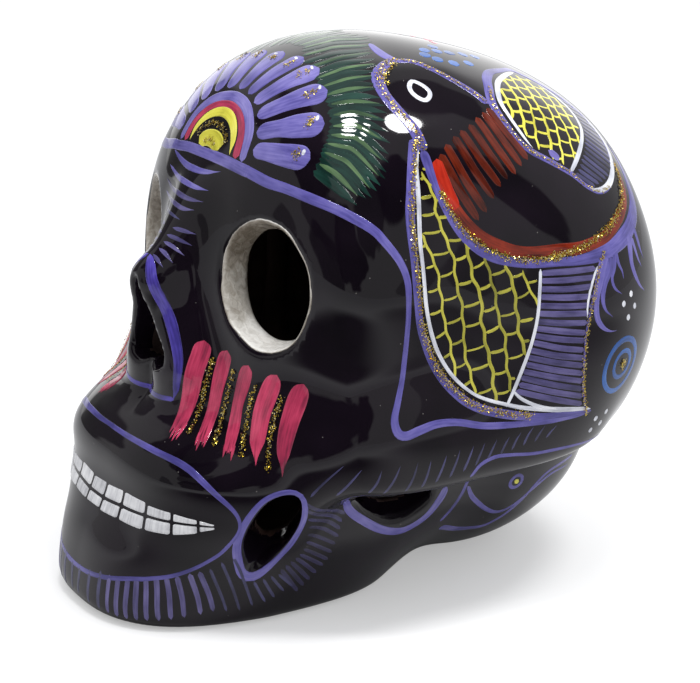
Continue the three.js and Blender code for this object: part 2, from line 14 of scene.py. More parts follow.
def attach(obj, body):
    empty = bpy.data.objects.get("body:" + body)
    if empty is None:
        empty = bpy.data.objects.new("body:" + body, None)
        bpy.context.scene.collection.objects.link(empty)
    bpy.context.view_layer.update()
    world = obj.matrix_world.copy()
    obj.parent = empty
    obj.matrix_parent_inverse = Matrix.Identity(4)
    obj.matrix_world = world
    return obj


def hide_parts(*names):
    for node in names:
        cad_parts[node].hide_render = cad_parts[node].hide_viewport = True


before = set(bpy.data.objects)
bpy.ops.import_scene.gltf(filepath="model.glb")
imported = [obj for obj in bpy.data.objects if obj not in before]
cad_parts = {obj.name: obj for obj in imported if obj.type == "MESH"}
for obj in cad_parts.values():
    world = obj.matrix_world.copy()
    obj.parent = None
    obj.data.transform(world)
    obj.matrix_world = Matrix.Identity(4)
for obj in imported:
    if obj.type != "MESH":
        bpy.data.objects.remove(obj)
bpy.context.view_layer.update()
mm = 0.001

# %% [markdown]
# ## The form
# A skull is a few round masses run into one another: cranium, brow, cheekbones, jaw. Sculpting them
# by hand would work, but a formula is easier to measure. Each mass gives a distance, which is below
# zero inside it, and a soft minimum joins two distances the way wet clay closes a crease. The
# masses are the ones that the CAD model uses, so the two shapes agree.

# %% The masses
width, length, height = 114.0, 148.0, 129.0
shares = np.array([width / 2, length, height])
balance_shift = np.array([0.0, -0.15, 0.0])
heart = np.array([0.0, 0.0, 0.4265 * height]) + balance_shift
wall = 6.0

# centre and reach as shares of half the width, the length and the height; blend as a share of the
# length; power squares the plan off
upper_masses = [
    ([0, .175, .525], [.975, .325, .425], .1, 2),
    ([0, -.04, .72], [.78, .255, .28], .135, 2.4),
    ([.375, .085, .49], [.43, .28, .195], .15, 2),
    ([.415, -.15, .59], [.415, .09, .165], .12, 2.4),
    ([.54, -.115, .365], [.32, .09, .12], .12, 2.2),
    ([.72, -.005, .305], [.205, .215, .115], .11, 2),
]
lower_masses = [
    ([0, -.13, .445], [.595, .15, .25], .1, 2.6),
    ([0, -.225, .245], [.66, .235, .16], .095, 2.8),
    ([0, -.23, .065], [.545, .28, .16], .095, 2.6),
    ([.435, -.07, .245], [.225, .15, .145], .11, 2),
    ([0, .175, .27], [.62, .28, .275], .095, 2),
]


def soft_min(a, b, blend):
    """The smaller of two distances, rounded off where they are within a blend length."""
    h = np.maximum(blend - np.abs(a - b), 0) / blend
    return np.minimum(a, b) - h * h * blend / 4


def soft_max(a, b, blend):
    return -soft_min(-a, -b, blend)


def smooth_step(start, end, value):
    t = np.clip((value - start) / (end - start), 0, 1)
    return t * t * (3 - 2 * t)


def mass_distance(q, centre, reach, power):
    """Ellipsoid-like distance: a power norm in plan, then plan and height joined by Pythagoras,
    divided by the slope so that one unit is about one millimetre."""
    reach = np.array(reach) * shares
    u = np.abs(q - np.array(centre) * shares) / reach + 1e-6
    plan = (u[:, 0] ** power + u[:, 1] ** power) ** (1 / power)
    size = np.hypot(plan, u[:, 2])
    lean = plan ** (2 - power)
    slope = np.sqrt((lean * u[:, 0] ** (power - 1) / reach[0]) ** 2
                    + (lean * u[:, 1] ** (power - 1) / reach[1]) ** 2 + (u[:, 2] / reach[2]) ** 2)
    return (size - 1) * size / slope


def joined(q, masses):
    distance = None
    for centre, reach, blend, power in masses:
        one = mass_distance(q, centre, reach, power)
        distance = one if distance is None else soft_min(distance, one, blend * length)
    return distance


def rod_distance(q, a, b, start, end):
    """Distance to a rod from a to b whose radius runs from start to end."""
    a, b = np.array(a) * shares, np.array(b) * shares
    t = np.clip((q - a) @ (b - a) / ((b - a) @ (b - a)), 0, 1)
    return np.linalg.norm(q - a - t[:, None] * (b - a), axis=1) - (start + (end - start) * t)


# %% The outside of the skull
def pressed(q):
    """How far thumbs have pressed the clay in, from 0 to about half a millimetre: slow waves some
    50 mm long, the same on both sides."""
    wave = (np.cos(q[:, 0] / 7.5) * np.sin(q[:, 1] / 8.5 + 1.1)
            + np.sin(q[:, 2] / 7.9 + q[:, 1] / 12) * np.cos(q[:, 0] / 11 + q[:, 2] / 14 + .6))
    return 0.1 * (wave + 2)


def skull_distance(p):
    """Distance in mm from the outside of the skull, below zero inside it."""
    q = p - balance_shift
    q[:, 0] = np.abs(q[:, 0])
    y, z = q[:, 1], q[:, 2]
    forward = y / length
    shelf = 34.2 + 0.03 * (y + 29.6) + 5 * smooth_step(-.23, -.34, forward)
    above = soft_max(joined(q, upper_masses), shelf - z, 5)
    d = soft_min(above, joined(q, lower_masses), 6 + 18 * smooth_step(-.15, -.31, forward))
    bridge = rod_distance(q, [0, -.29, .69], [0, -.36, .58], 4.3, 5.4)
    side = rod_distance(q, [0, -.36, .58], [.11, -.335, .44], 5.4, 6)
    d = soft_min(d, soft_min(bridge, side, 4), 12)
    turn = np.arctan2(q[:, 0], -.23 * length - y)
    fade = 1 - smooth_step(.75, 1.5, turn)
    for depth, groove, drop, share in ((1.5, 5, .95, .24), (2.5, 6.5, 2, .073)):
        d += depth * fade * np.exp(-((z - share * height + drop * turn ** 2) / groove) ** 2)
    return soft_max(d + pressed(q), -z, 3)


# %% [markdown]
# ## The openings
# The potter cut the eyes, the nose, the jaw and the slot under each cheekbone with a knife while
# the clay was leather hard. An eye is a leaning cone. The others are wedges that point at the heart
# of the skull, so an outline in two angles, degrees round from the face and degrees up, says all
# about them. The cut edges are rounded, as a wet finger leaves them.

# %% Outlines and cones
nose_outline = [[0, 20], [2.6, 15.5], [5, 10.5], [7.4, 6], [7.6, 2.6], [4, 1], [0, 2.4],
                [-4, 1], [-7.6, 2.6], [-7.4, 6], [-5, 10.5], [-2.6, 15.5]]
jaw_outline = [[46, -19], [41, -19.5], [37, -24], [34.5, -30],
               [34.5, -36], [38, -36], [42.5, -32], [46, -25]]
shelf_outline = [[59, -26], [66, -29], [74, -31.5], [87, -34],
                 [87.5, -37.5], [80, -39], [71, -37.5], [63, -32]]


def unit(v):
    """A vector, or each row of vectors, brought to length one."""
    return v / np.linalg.norm(v, axis=-1, keepdims=True)


def smooth_path(stops, closed=False, steps=12):
    """Catmull-Rom curve through rows of any number of columns: each span is a cubic whose end
    slopes are half the difference of the stops on either side. A closed one ends where it
    starts."""
    stops = np.array(stops, float)
    if closed:
        a, b, c, d = (np.roll(stops, k, 0)[:, None] for k in (1, 0, -1, -2))
    else:
        ends = np.vstack([2 * stops[0] - stops[1], stops, 2 * stops[-1] - stops[-2]])
        a, b, c, d = (v[:, None] for v in (ends[:-3], ends[1:-2], ends[2:-1], ends[3:]))
    t = (np.arange(steps) / steps)[None, :, None]
    curve = .5 * (2 * b + (c - a) * t + (2 * a - 5 * b + 4 * c - d) * t ** 2
                  + (3 * b - a - 3 * c + d) * t ** 3)
    return np.vstack([curve.reshape(-1, stops.shape[1]), stops[0 if closed else -1]])


def angles_of(p):
    """Degrees round to the left from the face, degrees up, and millimetres from the heart."""
    v = p - heart
    flat = np.hypot(v[:, 0], v[:, 1])
    return (np.degrees(np.arctan2(v[:, 0], -v[:, 1])), np.degrees(np.arctan2(v[:, 2], flat)),
            np.hypot(flat, v[:, 2]))


def direction_of(turn, rise):
    """The direction that lies so many degrees round from the face and so many up."""
    a, b = np.radians(turn), np.radians(rise)
    return np.stack([np.sin(a) * np.cos(b), -np.cos(a) * np.cos(b), np.sin(b)], -1)


def wedge_distance(p, outline, far=20.0, margin=9):
    """Signed distance to a wedge: the distance from the point's angles to the outline, turned into
    millimetres by the point's reach from the heart. Below zero inside the opening. Points more
    than `margin` degrees away just get the value `far`."""
    ring = smooth_path(outline, closed=True, steps=6)[:-1]
    turn, rise, reach = angles_of(p)
    turn = np.abs(turn)
    result = np.full(len(p), far)
    near = np.ones(len(p), bool)
    for value, column in ((turn, 0), (rise, 1)):
        near &= (value > ring[:, column].min() - margin) & (value < ring[:, column].max() + margin)
    if not near.any():
        return result
    shrink = np.cos(np.radians(rise[near]))[:, None]
    ax = (ring[None, :, 0] - turn[near, None]) * shrink
    ay = ring[None, :, 1] - rise[near, None]
    bx, by = np.roll(ax, -1, 1), np.roll(ay, -1, 1)
    ex, ey = bx - ax, by - ay
    t = np.clip(-(ax * ex + ay * ey) / (ex * ex + ey * ey), 0, 1)
    away = np.sqrt(((ax + t * ex) ** 2 + (ay + t * ey) ** 2).min(1))
    crossing = ((ay > 0) != (by > 0)) & ((ax * by - ay * bx > 0) == (by > ay))
    inside = crossing.sum(1) % 2 == 1
    result[near] = np.radians(np.where(inside, -away, away)) * reach[near]
    return result


eye_wide, eye_tall, eye_depth, eye_flare, eye_tilt = 12.3, 14.5, 16, .246, 20
eye_centre = np.array([.475, -.288, .612]) * shares + balance_shift
eye_axis = direction_of(22, 8)
level = unit(np.cross([0, 0, 1], eye_axis))
lean = np.radians(eye_tilt)
eye_across = level * np.cos(lean) + np.cross(eye_axis, level) * np.sin(lean)
eye_up = np.cross(eye_axis, eye_across)


def eye_growth(t, turn):
    """How much wider the eye's cone is, t mm out along its axis, than at its middle. A knife
    doesn't cut a true oval, so it wanders by 2 per cent on its way round as well."""
    by_hand = (1 + .012 * np.sin(3 * turn + .8) + .008 * np.sin(5 * turn + 2.1)
               + .005 * np.sin(9 * turn))
    return (1 + eye_flare * np.clip(t, -eye_depth, 12) / eye_wide) * by_hand


def eye_distance(p):
    """Signed distance to the left eye's cone, below zero inside it."""
    q = p.copy()
    q[:, 0] = np.abs(q[:, 0])
    q -= eye_centre
    a, b, t = q @ eye_across, q @ eye_up, q @ eye_axis
    grown = eye_growth(t, np.arctan2(b, a))
    u, v = a / (eye_wide * grown), b / (eye_tall * grown)
    size = np.hypot(u, v) + 1e-6
    slope = np.hypot(u / (eye_wide * grown), v / (eye_tall * grown)) + 1e-9
    return np.maximum((size - 1) * size / slope, -eye_depth - t)


def clay_distance(p, edge=1.6):
    """Distance from the clay itself: a wall 6 mm thick, less the openings, with round edges."""
    d = skull_distance(p)
    shell = np.maximum(d, -(d + wall))
    wedges = (wedge_distance(p, o) for o in (nose_outline, jaw_outline, shelf_outline))
    for cut in (eye_distance(p), *wedges):
        shell = soft_max(shell, -cut, edge)
    return shell


def slope_of(field, p, nudge=.05):
    """Direction in which a field grows fastest, from four samples at the corners of a
    tetrahedron."""
    corners = np.array([[1, -1, -1], [-1, -1, 1], [-1, 1, -1], [1, 1, 1]], float)
    return sum(c * field(p + nudge * c)[:, None] for c in corners) / (4 * nudge)


def settle(field, p, target=0.0, rounds=3, slope=False):
    """Newton's method: moves points along the slope until the field there has the target value.
    With `slope` it gives the outward direction at each point as well."""
    for _ in range(rounds):
        g = slope_of(field, p)
        p = p - ((field(p) - target) / np.maximum((g * g).sum(1), .2))[:, None] * g
    return (p, unit(g)) if slope else p


def tube_faces(turns, around):
    """Quads of a ring of closed sections, each with so many points around."""
    i, j = np.meshgrid(np.arange(turns), np.arange(around), indexing="ij")
    n, k = (i + 1) % turns, (j + 1) % around
    return np.stack([i * around + j, n * around + j, n * around + k, i * around + k],
                    -1).reshape(-1, 4)


def facing_out(points, faces):
    """The faces, turned round if they enclose a negative volume."""
    a, b, c = (points[faces[:, m]] for m in (0, 1, 2))
    return faces[:, ::-1] if (a * np.cross(b, c)).sum() < 0 else faces


def walk(place_at, reach, goal, rounds, pace):
    """Walks points along rays until a distance is nought: `place_at` gives the places for the
    reaches, and `goal` the distance still to go there."""
    for _ in range(rounds):
        reach = reach - pace * goal(place_at(reach))
    return reach


print("field at the heart:", skull_distance(heart[None])[0].round(1), "mm")

# %% [markdown]
# ## From formula to surface
# A surface net turns the formula into a mesh. Space is cut into small cubes, every cube that the
# surface passes through gets one point, and the points round each crossed cube edge make a quad. A
# few rounds of Newton's method then put every point exactly on the clay. The right half is the
# left half mirrored, so the two sides can't differ.

# %% Surface net
def surface_net(step):
    """Points and quads of the clay's surface, inside and out."""
    lows = np.array([-.5 * step, -77.0, -2.5])
    counts = np.ceil((np.array([60.0, 77.0, 132.5]) - lows) / step).astype(int)
    counts += (-counts) % 4
    block = 4 * step
    centres = np.stack(np.meshgrid(*[l + block * (np.arange(n // 4) + .5)
                                     for l, n in zip(lows, counts)], indexing="ij"), -1)
    rough = clay_distance(centres.reshape(-1, 3)).reshape(centres.shape[:3])
    values = np.repeat(np.repeat(np.repeat(rough, 4, 0), 4, 1), 4, 2)
    close = np.abs(values) < 1.1 * block
    places = np.argwhere(close)
    values[close] = clay_distance(lows + step * places)
    inside = values < 0
    corners = [(i, j, k) for i in (0, 1) for j in (0, 1) for k in (0, 1)]
    part = [slice(0, -1), slice(1, None)]
    total = sum(inside[part[i], part[j], part[k]].astype(int) for i, j, k in corners)
    cells = (total > 0) & (total < 8)
    index = np.full(cells.shape, -1)
    where = np.argwhere(cells)
    index[cells] = np.arange(len(where))
    spot, share = np.zeros((len(where), 3)), np.zeros(len(where))
    for axis in range(3):
        others = [a for a in range(3) if a != axis]
        for i in (0, 1):
            for j in (0, 1):
                a = where.copy()
                a[:, others[0]] += i
                a[:, others[1]] += j
                b = a.copy()
                b[:, axis] += 1
                va, vb = values[tuple(a.T)], values[tuple(b.T)]
                crossed = (va < 0) != (vb < 0)
                t = np.where(crossed, va / np.where(crossed, va - vb, 1), 0)
                spot += np.where(crossed[:, None], a + t[:, None] * (b - a), 0)
                share += crossed
    points = lows + step * spot / share[:, None]
    middle = where[:, 0] == 0
    points[middle, 0] = 0
    quads = []
    for axis in range(3):
        u, v = [(1, 2), (2, 0), (0, 1)][axis]
        size = np.array(inside.shape)
        size[axis] -= 1
        edge = np.argwhere(inside[tuple(slice(0, n) for n in size)]
                           != np.roll(inside, -1, axis)[tuple(slice(0, n) for n in size)])
        edge = edge[(edge[:, u] > 0) & (edge[:, v] > 0)]
        edge = edge[(edge[:, u] < cells.shape[u]) & (edge[:, v] < cells.shape[v])]
        ring = []
        for du, dv in ((-1, -1), (0, -1), (0, 0), (-1, 0)):
            cell = edge.copy()
            cell[:, u] += du
            cell[:, v] += dv
            ring.append(index[tuple(cell.T)])
        ring = np.stack(ring, 1)
        flip = ~inside[tuple(edge.T)]
        ring[flip] = ring[flip][:, ::-1]
        quads.append(ring)
    quads = np.vstack(quads)
    points = settle(clay_distance, points)
    points[middle, 0] = 0
    twin = np.where(middle, np.arange(len(points)), 0)
    twin[~middle] = len(points) + np.arange((~middle).sum())
    points = np.vstack([points, points[~middle] * [-1, 1, 1]])
    return points, np.vstack([quads, twin[quads][:, ::-1]])


skin_points, skin_quads = surface_net(0.95)
print("clay surface:", len(skin_points), "points,", len(skin_quads), "quads")

# %% [markdown]
# ## Finishes
# Every finish is a small node tree on the Principled shader. Colours are written as the sRGB hex
# that a paint chart gives, and one function turns them to linear. The pottery is burnished, painted
# and then varnished, so its gloss comes from a clear coat, and the colour under it is matt.

# %% Material helpers
def linear(code):
    """sRGB hex to linear red, green, blue and alpha."""
    c = np.array([int(code[i:i + 2], 16) for i in (1, 3, 5)]) / 255
    return (*np.where(c <= .04045, c / 12.92, ((c + .055) / 1.055) ** 2.4), 1.0)


def wire(tree, node, inputs):
    """Sets a node's inputs, by name or number: a value stays a value, an output gets a link."""
    for key, value in inputs.items():
        if isinstance(value, bpy.types.NodeSocket):
            tree.links.new(value, node.inputs[key])
        else:
            node.inputs[key].default_value = value


def add(tree, kind, inputs=None, out=0, **settings):
    """Adds a node with its inputs and its own settings, and gives the output that is wanted."""
    node = tree.nodes.new("ShaderNode" + kind)
    for key, value in settings.items():
        setattr(node, key, value)
    wire(tree, node, inputs or {})
    return node.outputs[out]


def new_material(name):
    """A material with its node tree and its Principled shader."""
    material = bpy.data.materials.new(name)
    material.use_nodes = True
    tree = material.node_tree
    return material, tree, tree.nodes["Principled BSDF"]


def calc(tree, operation, *values):
    """Sums with one to three numbers or outputs."""
    return add(tree, "Math", dict(enumerate(values)), operation=operation)


def noise(tree, place, size, detail, **more):
    """Cloudy noise, with blots of a size in metres."""
    return add(tree, "TexNoise", {"Vector": place, "Scale": 1 / size, "Detail": detail, **more})


def bump(tree, height, strength, distance):
    return add(tree, "Bump", {"Height": height, "Strength": strength, "Distance": distance})


def carry(tree, value, start, end, low=0, high=1, smooth=True):
    """Carries a value from one range to another, with soft ends or straight."""
    return add(tree, "MapRange", {"Value": value, "From Min": start, "From Max": end,
                                  "To Min": low, "To Max": high},
               interpolation_type="SMOOTHSTEP" if smooth else "LINEAR")


def away_from(tree, source, spot):
    """Distance from a spot."""
    return add(tree, "VectorMath", {0: source, 1: spot}, "Value", operation="DISTANCE")


def ramp(tree, source, stops):
    """A colour ramp through (place, hex) stops."""
    colour = add(tree, "ValToRGB", {"Fac": source})
    elements = colour.node.color_ramp.elements
    elements[0].position, elements[-1].position = 0, 1
    while len(elements) < len(stops):
        elements.new(.5)
    for element, (place, code) in zip(elements, stops):
        element.position, element.color = place, linear(code)
    return colour


# %% Varnished black pottery, and the bare clay inside it
def varnished_clay():
    """Smoked black clay, burnished and varnished with a brush. The eye sees a deep black that
    mirrors the room, faintly uneven where the varnish pooled, and a few grains of dust in it."""
    material, tree, shader = new_material("varnished_black_clay")
    place = add(tree, "TexCoord", out="Object")
    tint = ramp(tree, noise(tree, place, 18 * mm, 2), [(.35, "#0b070d"), (.7, "#140d16")])
    dust = add(tree, "TexVoronoi", {"Vector": place, "Scale": 1 / (4.2 * mm)})
    grain = calc(tree, "LESS_THAN", dust, .035)
    speck = add(tree, "Mix", {"Factor": grain, 6: tint, 7: linear("#5d5a58")}, 2,
                data_type="RGBA")
    sag = bump(tree, noise(tree, place, 11 * mm, 1), .5, .06 * mm)
    wire(tree, shader, {"Base Color": speck, "Normal": sag, "Roughness": .045, "IOR": 1.45})
    return material


def bare_clay():
    """Unvarnished fired clay: matt and grainy, dark from the smoke of the firing."""
    material, tree, shader = new_material("smoked_bare_clay")
    place = add(tree, "TexCoord", out="Object")
    tint = ramp(tree, noise(tree, place, 25 * mm, 2), [(.3, "#2a1b17"), (.75, "#4c3329")])
    grain = bump(tree, noise(tree, place, 1.2 * mm, 5), .6, .3 * mm)
    wire(tree, shader, {"Base Color": tint, "Normal": grain, "Roughness": .8})
    return material


clay_black, clay_bare = varnished_clay(), bare_clay()
print("clay finishes:", clay_black.name, clay_bare.name)

# %% [markdown]
# ## The two halves
# The net is parted at the seam into the front and the back half, as the moulds part the real clay.
# The cut faces get their own flat shade, and all other points take their normal straight from the
# formula, so the mirror-like varnish shows no facets and the seam doesn't show.

# %% Cut the surface at the seam
seam_y = .04 * length + balance_shift[1]
inner_depth = -4.6


def corners_of(mesh):
    """Index of the point at each corner of each face."""
    corner = np.empty(len(mesh.loops), np.int32)
    mesh.loops.foreach_get("vertex_index", corner)
    return corner


def make_mesh(name, points, faces, materials, nodes, uv=None, tone=None, shade=None):
    """A piece of the skull: points in mm, faces as rows of indices, riding on the root body.
    `shade` gives the direction each point is lit from, where the faces' own isn't wanted."""
    mesh = bpy.data.meshes.new(name)
    mesh.from_pydata(np.asarray(points) * mm, [], faces.tolist())
    mesh.polygons.foreach_set("use_smooth", np.ones(len(mesh.polygons), bool))
    if uv is not None:
        brush = mesh.uv_layers.new(name="brush")
        brush.data.foreach_set("uv", uv[corners_of(mesh)].ravel())
    if tone is not None:
        mesh.attributes.new("tone", "FLOAT_COLOR", "POINT").data.foreach_set("color", tone.ravel())
    mesh.update()
    if shade is not None:
        mesh.normals_split_custom_set_from_vertices(shade)
    piece = bpy.data.objects.new(name, mesh)
    bpy.context.scene.collection.objects.link(piece)
    for material in materials:
        mesh.materials.append(material)
    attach(piece, "root")
    if nodes:
        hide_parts(*nodes)
    return piece


def half_shell(name, keep, node):
    """The part of the surface on one side of the seam. The net is cut along the seam's plane, and
    the open rings are closed with a flat band."""
    import bmesh
    work = bmesh.new()
    whole = bpy.data.meshes.new("whole")
    whole.from_pydata(skin_points, [], skin_quads.tolist())
    work.from_mesh(whole)
    everything = work.verts[:] + work.edges[:] + work.faces[:]
    cut = bmesh.ops.bisect_plane(work, geom=everything, plane_co=(0, seam_y, 0),
                                 plane_no=(0, -keep, 0), clear_outer=True, dist=1e-4)
    rim = [e for e in cut["geom_cut"] if isinstance(e, bmesh.types.BMEdge)]
    bmesh.ops.triangle_fill(work, edges=rim, use_beauty=True, use_dissolve=False)
    bmesh.ops.recalc_face_normals(work, faces=work.faces[:])
    work.verts.index_update()
    points = np.array([v.co for v in work.verts])
    faces = np.array([[v.index for v in f.verts] for f in work.faces], dtype=object)
    flat = np.array([abs(f.normal.y) > .9999 and abs(f.calc_center_median().y - seam_y) < .01
                     for f in work.faces])
    piece = make_mesh(name, points, faces, [clay_black, clay_bare], [node])
    bpy.data.meshes.remove(whole)
    work.free()
    mesh = piece.data
    corner = corners_of(mesh)
    starts, counts = np.empty((2, len(mesh.polygons)), np.int32)
    mesh.polygons.foreach_get("loop_start", starts)
    mesh.polygons.foreach_get("loop_total", counts)
    shade = unit(slope_of(clay_distance, points))[corner]
    shade[np.repeat(flat, counts)] = (0, -keep, 0)
    mesh.normals_split_custom_set(shade)
    depth = skull_distance(points)[corner]
    inner = np.add.reduceat(depth, starts) / counts < inner_depth
    mesh.polygons.foreach_set("material_index", (inner | flat).astype(np.int32))
    print(name, len(mesh.polygons), "faces")
    return piece


half_shell("clay_front", 1, "front_half")
half_shell("clay_back", -1, "back_half")

# %% [markdown]
# ## Paint, laid stroke by stroke
# The decoration is thick paint put on with small brushes, so each stroke stands a tenth of a
# millimetre proud, is round where the brush landed and thin where it left. A picture projected on
# the clay would be quicker, but it would have no edges for the varnish to catch the light on. Here
# a stroke is a short list of stops, each two angles and a width, and the skull's own formula
# puts it on the skin.

# %% Where a direction meets the skin
def reach_table():
    """Millimetres from the heart to the outside of the skull, for every whole degree round and up.
    Each ray is walked in from outside by the distance that the field gives."""
    turn, rise = np.meshgrid(np.arange(0., 181), np.arange(-90., 91), indexing="ij")
    toward = direction_of(turn.ravel(), rise.ravel())
    reach = walk(lambda r: heart + toward * r[:, None], np.full(len(toward), 95.),
                 skull_distance, 45, .8)
    return reach.reshape(turn.shape)


skin_reach = reach_table()


def near_skin(angles):
    """Point close to the skin in each direction, read from the table between its whole degrees."""
    a = np.clip(np.abs(angles[:, 0]), 0, 179.99)
    b = np.clip(angles[:, 1] + 90, 0, 179.99)
    i, j = a.astype(int), b.astype(int)
    u, v = a - i, b - j
    reach = (skin_reach[i, j] * (1 - u) * (1 - v) + skin_reach[i + 1, j] * u * (1 - v)
             + skin_reach[i, j + 1] * (1 - u) * v + skin_reach[i + 1, j + 1] * u * v)
    return heart + direction_of(angles[:, 0], angles[:, 1]) * reach[:, None]


def on_skin(angles):
    """The outermost point of the skin in each direction."""
    toward = direction_of(angles[:, 0], angles[:, 1])
    reach = np.linalg.norm(near_skin(angles) - heart, axis=1) + 1.5
    reach = walk(lambda r: heart + toward * r[:, None], reach, skull_distance, 9, .8)
    return heart + toward * reach[:, None]


print("farthest skin from the heart:", skin_reach.max().round(1), "mm")


# %% A local drawing board
class DrawingBoard:
    """A flat sheet in millimetres that touches the skin at one spot. A mark on it is carried to
    the skin along the line to the heart."""

    def __init__(self, centre):
        self.turn = centre[0]
        self.middle = on_skin(np.array([centre], float))[0]
        self.normal = unit(slope_of(skull_distance, self.middle[None])[0])
        self.across = unit(np.cross([0, 0, 1], self.normal))
        self.upward = np.cross(self.normal, self.across)

    def to_angles(self, marks):
        marks = np.atleast_2d(np.array(marks, float))
        p = self.middle + marks[:, :1] * self.across + marks[:, 1:2] * self.upward
        turn, rise, _ = angles_of(p)
        turn = self.turn + (turn - self.turn + 180) % 360 - 180
        return np.column_stack([turn, rise, marks[:, 2:]])

    def to_marks(self, angles):
        angles = np.atleast_2d(np.array(angles, float))
        toward = direction_of(angles[:, 0], angles[:, 1])
        far = (self.middle - heart) @ self.normal / (toward @ self.normal)
        p = heart + toward * far[:, None] - self.middle
        return np.column_stack([p @ self.across, p @ self.upward])


def polar(radius, degrees, tall=None):
    """Marks so far out from the board's middle, at so many degrees; `tall` makes an oval."""
    a = np.radians(degrees)
    return np.column_stack([radius * np.cos(a), (radius if tall is None else tall) * np.sin(a)])


# %% A brush stroke
chance = np.random.default_rng(20)


def wander(count, every, size):
    """A slow random wander: one random value each `every` stations, joined by smooth steps."""
    knots = chance.normal(0, size, count // every + 3)
    t = np.arange(count) / every + chance.random()
    i = t.astype(int)
    f = smooth_step(0, 1, t - i)
    return knots[i] * (1 - f) + knots[i + 1] * f


def stroke(stops, wide=None, start=1., end=1., closed=False, aside=0., wobble=.06, thin=0.,
           proud=.08, both=True):
    """One stroke of the brush. `stops` are rows of angles, with a width in mm each or `wide` for
    all; start and end are how long its tips are, in half widths; aside moves it sideways in mm;
    thin is how far its end runs dry, from 0 to 1; both asks for its mirror image as well."""
    stops = np.array(stops, float)
    if stops.shape[1] == 2:
        stops = np.column_stack([stops, np.broadcast_to(wide, len(stops))])
    return dict(stops=stops, start=start, end=end, closed=closed, aside=aside, wobble=wobble,
                thin=thin, proud=proud, both=both)


def stations(one, spacing):
    """Evenly spaced places along a stroke, as angles, with the width, the way aside, the tone and
    the cover of the paint at each, and how far along it is."""
    closed = one["closed"]
    curve = smooth_path(one["stops"], closed)
    along = np.cumsum(np.linalg.norm(np.diff(near_skin(curve), axis=0), axis=1))
    along = np.r_[0, along]
    count = max(int(along[-1] / spacing), 5)
    s = np.linspace(0, along[-1], count + (not closed), endpoint=not closed)
    at = np.column_stack([np.interp(s, along, column) for column in curve.T])
    width = at[:, 2] * (1 + wander(len(s), 7, one["wobble"] * .6))
    if not closed:
        for gap, tip in ((s, one["start"]), (s[-1] - s, one["end"])):
            size = max(tip, .05) * at[:, 2].max() / 2
            t = np.clip(gap / min(size, along[-1] * .6), 0, 1)
            # a short tip is round, a long one tapers
            width = width * (np.sqrt(np.maximum(1 - (1 - t) ** 2, .0025)) if tip <= 1.6
                             else np.maximum(t ** .75, .06))
    tone = np.clip(.5 + chance.normal(0, .04) + wander(len(s), 9, .06), 0, 1)
    cover = 1 - one["thin"] * smooth_step(.45, 1, s / along[-1])
    side = one["aside"] + wander(len(s), 9, one["wobble"])
    if closed:
        blend = smooth_step(0, 1, np.clip(np.arange(len(s)) / 12, 0, 1))
        width, side = (a * blend + a[-1] * (1 - blend) for a in (width, side))
    return at[:, :2], width, side, tone, cover, s + chance.random() * 300


def frames_of(strokes, spacing=.7):
    """All strokes' stations on the skin in one go: how many each stroke has, what `stations` gives
    for each, its place, the direction across the stroke, and the one outward."""
    rows = [stations(one, spacing) for one in strokes]
    counts = [len(r[0]) for r in rows]
    angles, *columns = (np.concatenate([r[k] for r in rows]) for k in range(6))
    place = on_skin(angles)
    normal = unit(slope_of(skull_distance, place))
    ahead = []
    for one, part in zip(strokes, np.split(place, np.cumsum(counts)[:-1])):
        ahead.append(np.roll(part, -1, 0) - np.roll(part, 1, 0) if one["closed"]
                     else np.gradient(part, axis=0))
    return counts, columns, place, unit(np.cross(normal, np.vstack(ahead))), normal


# across the stroke as a share of its half width, how proud, and how far it leans sideways: flat on
# top, with edges and back in the clay
section = np.array([(-1, -.3, -.9), (-.8, .85, -.05), (0, 1, 0), (.8, .85, .05), (1, -.3, .9),
                    (0, -1.3, 0)])
around = len(section)
back_point = around - 1
start_caps = np.array([[0, 1, 2, 5], [2, 3, 4, 5]])
end_caps = np.array([[5, 2, 1, 0], [5, 4, 3, 2]])


def lay(name, strokes, paint, nodes=(), spacing=.7, field=skull_distance):
    """Turns strokes into one mesh. Each station carries a closed section of six points, which is
    moved along the slope of the skull's field until each point is as proud as it should be. A
    stroke on the left gets its mirror image on the right."""
    material, slot = paint
    counts, (width, aside, tone, cover, along), place, side, _ = frames_of(strokes, spacing)
    proud = np.repeat([one["proud"] for one in strokes], counts)
    out = aside[:, None] + section[:, 0] * width[:, None] / 2
    points = (place[:, None] + out[..., None] * side[:, None]).reshape(-1, 3)
    high = np.minimum(proud, .25 * width)[:, None] * section[:, 1]
    points, outward = settle(field, points, high.ravel(), 2, slope=True)
    outward[back_point::around] *= -1
    outward += np.tile(section[:, 2], len(width))[:, None] * np.repeat(side, around, 0)
    uv = np.stack([np.repeat(along[:, None], around, 1), out], -1).reshape(-1, 2) * .01
    tones = np.ones((len(points), 4))
    tones[:, 0], tones[:, 1] = np.repeat(tone, around), np.repeat(cover, around)
    faces, twins, first = [], [], 0
    for one, count in zip(strokes, counts):
        own = tube_faces(count, around)
        if not one["closed"]:
            own = np.vstack([own[:-around], start_caps, end_caps + (count - 1) * around])
        faces.append(own + first * around)
        twins.append(np.full(len(own), one["both"]))
        first += count
    faces, twins = np.vstack(faces), np.concatenate(twins)
    faces = np.vstack([faces, faces[twins][:, ::-1] + len(points)])
    used, back = np.unique(faces, return_inverse=True)
    points, outward = (np.vstack([v, v * [-1, 1, 1]])[used] for v in (points, outward))
    uv, tones = (np.vstack([v, v])[used] for v in (uv, tones))
    piece = make_mesh(name, points, back.reshape(-1, 4), [material], nodes, uv, tones,
                      unit(outward))
    print(f"{name}: {len(strokes)} strokes, {len(piece.data.polygons)} faces")
    return piece


def pair(node):
    return [node + "_left", node + "_right"]


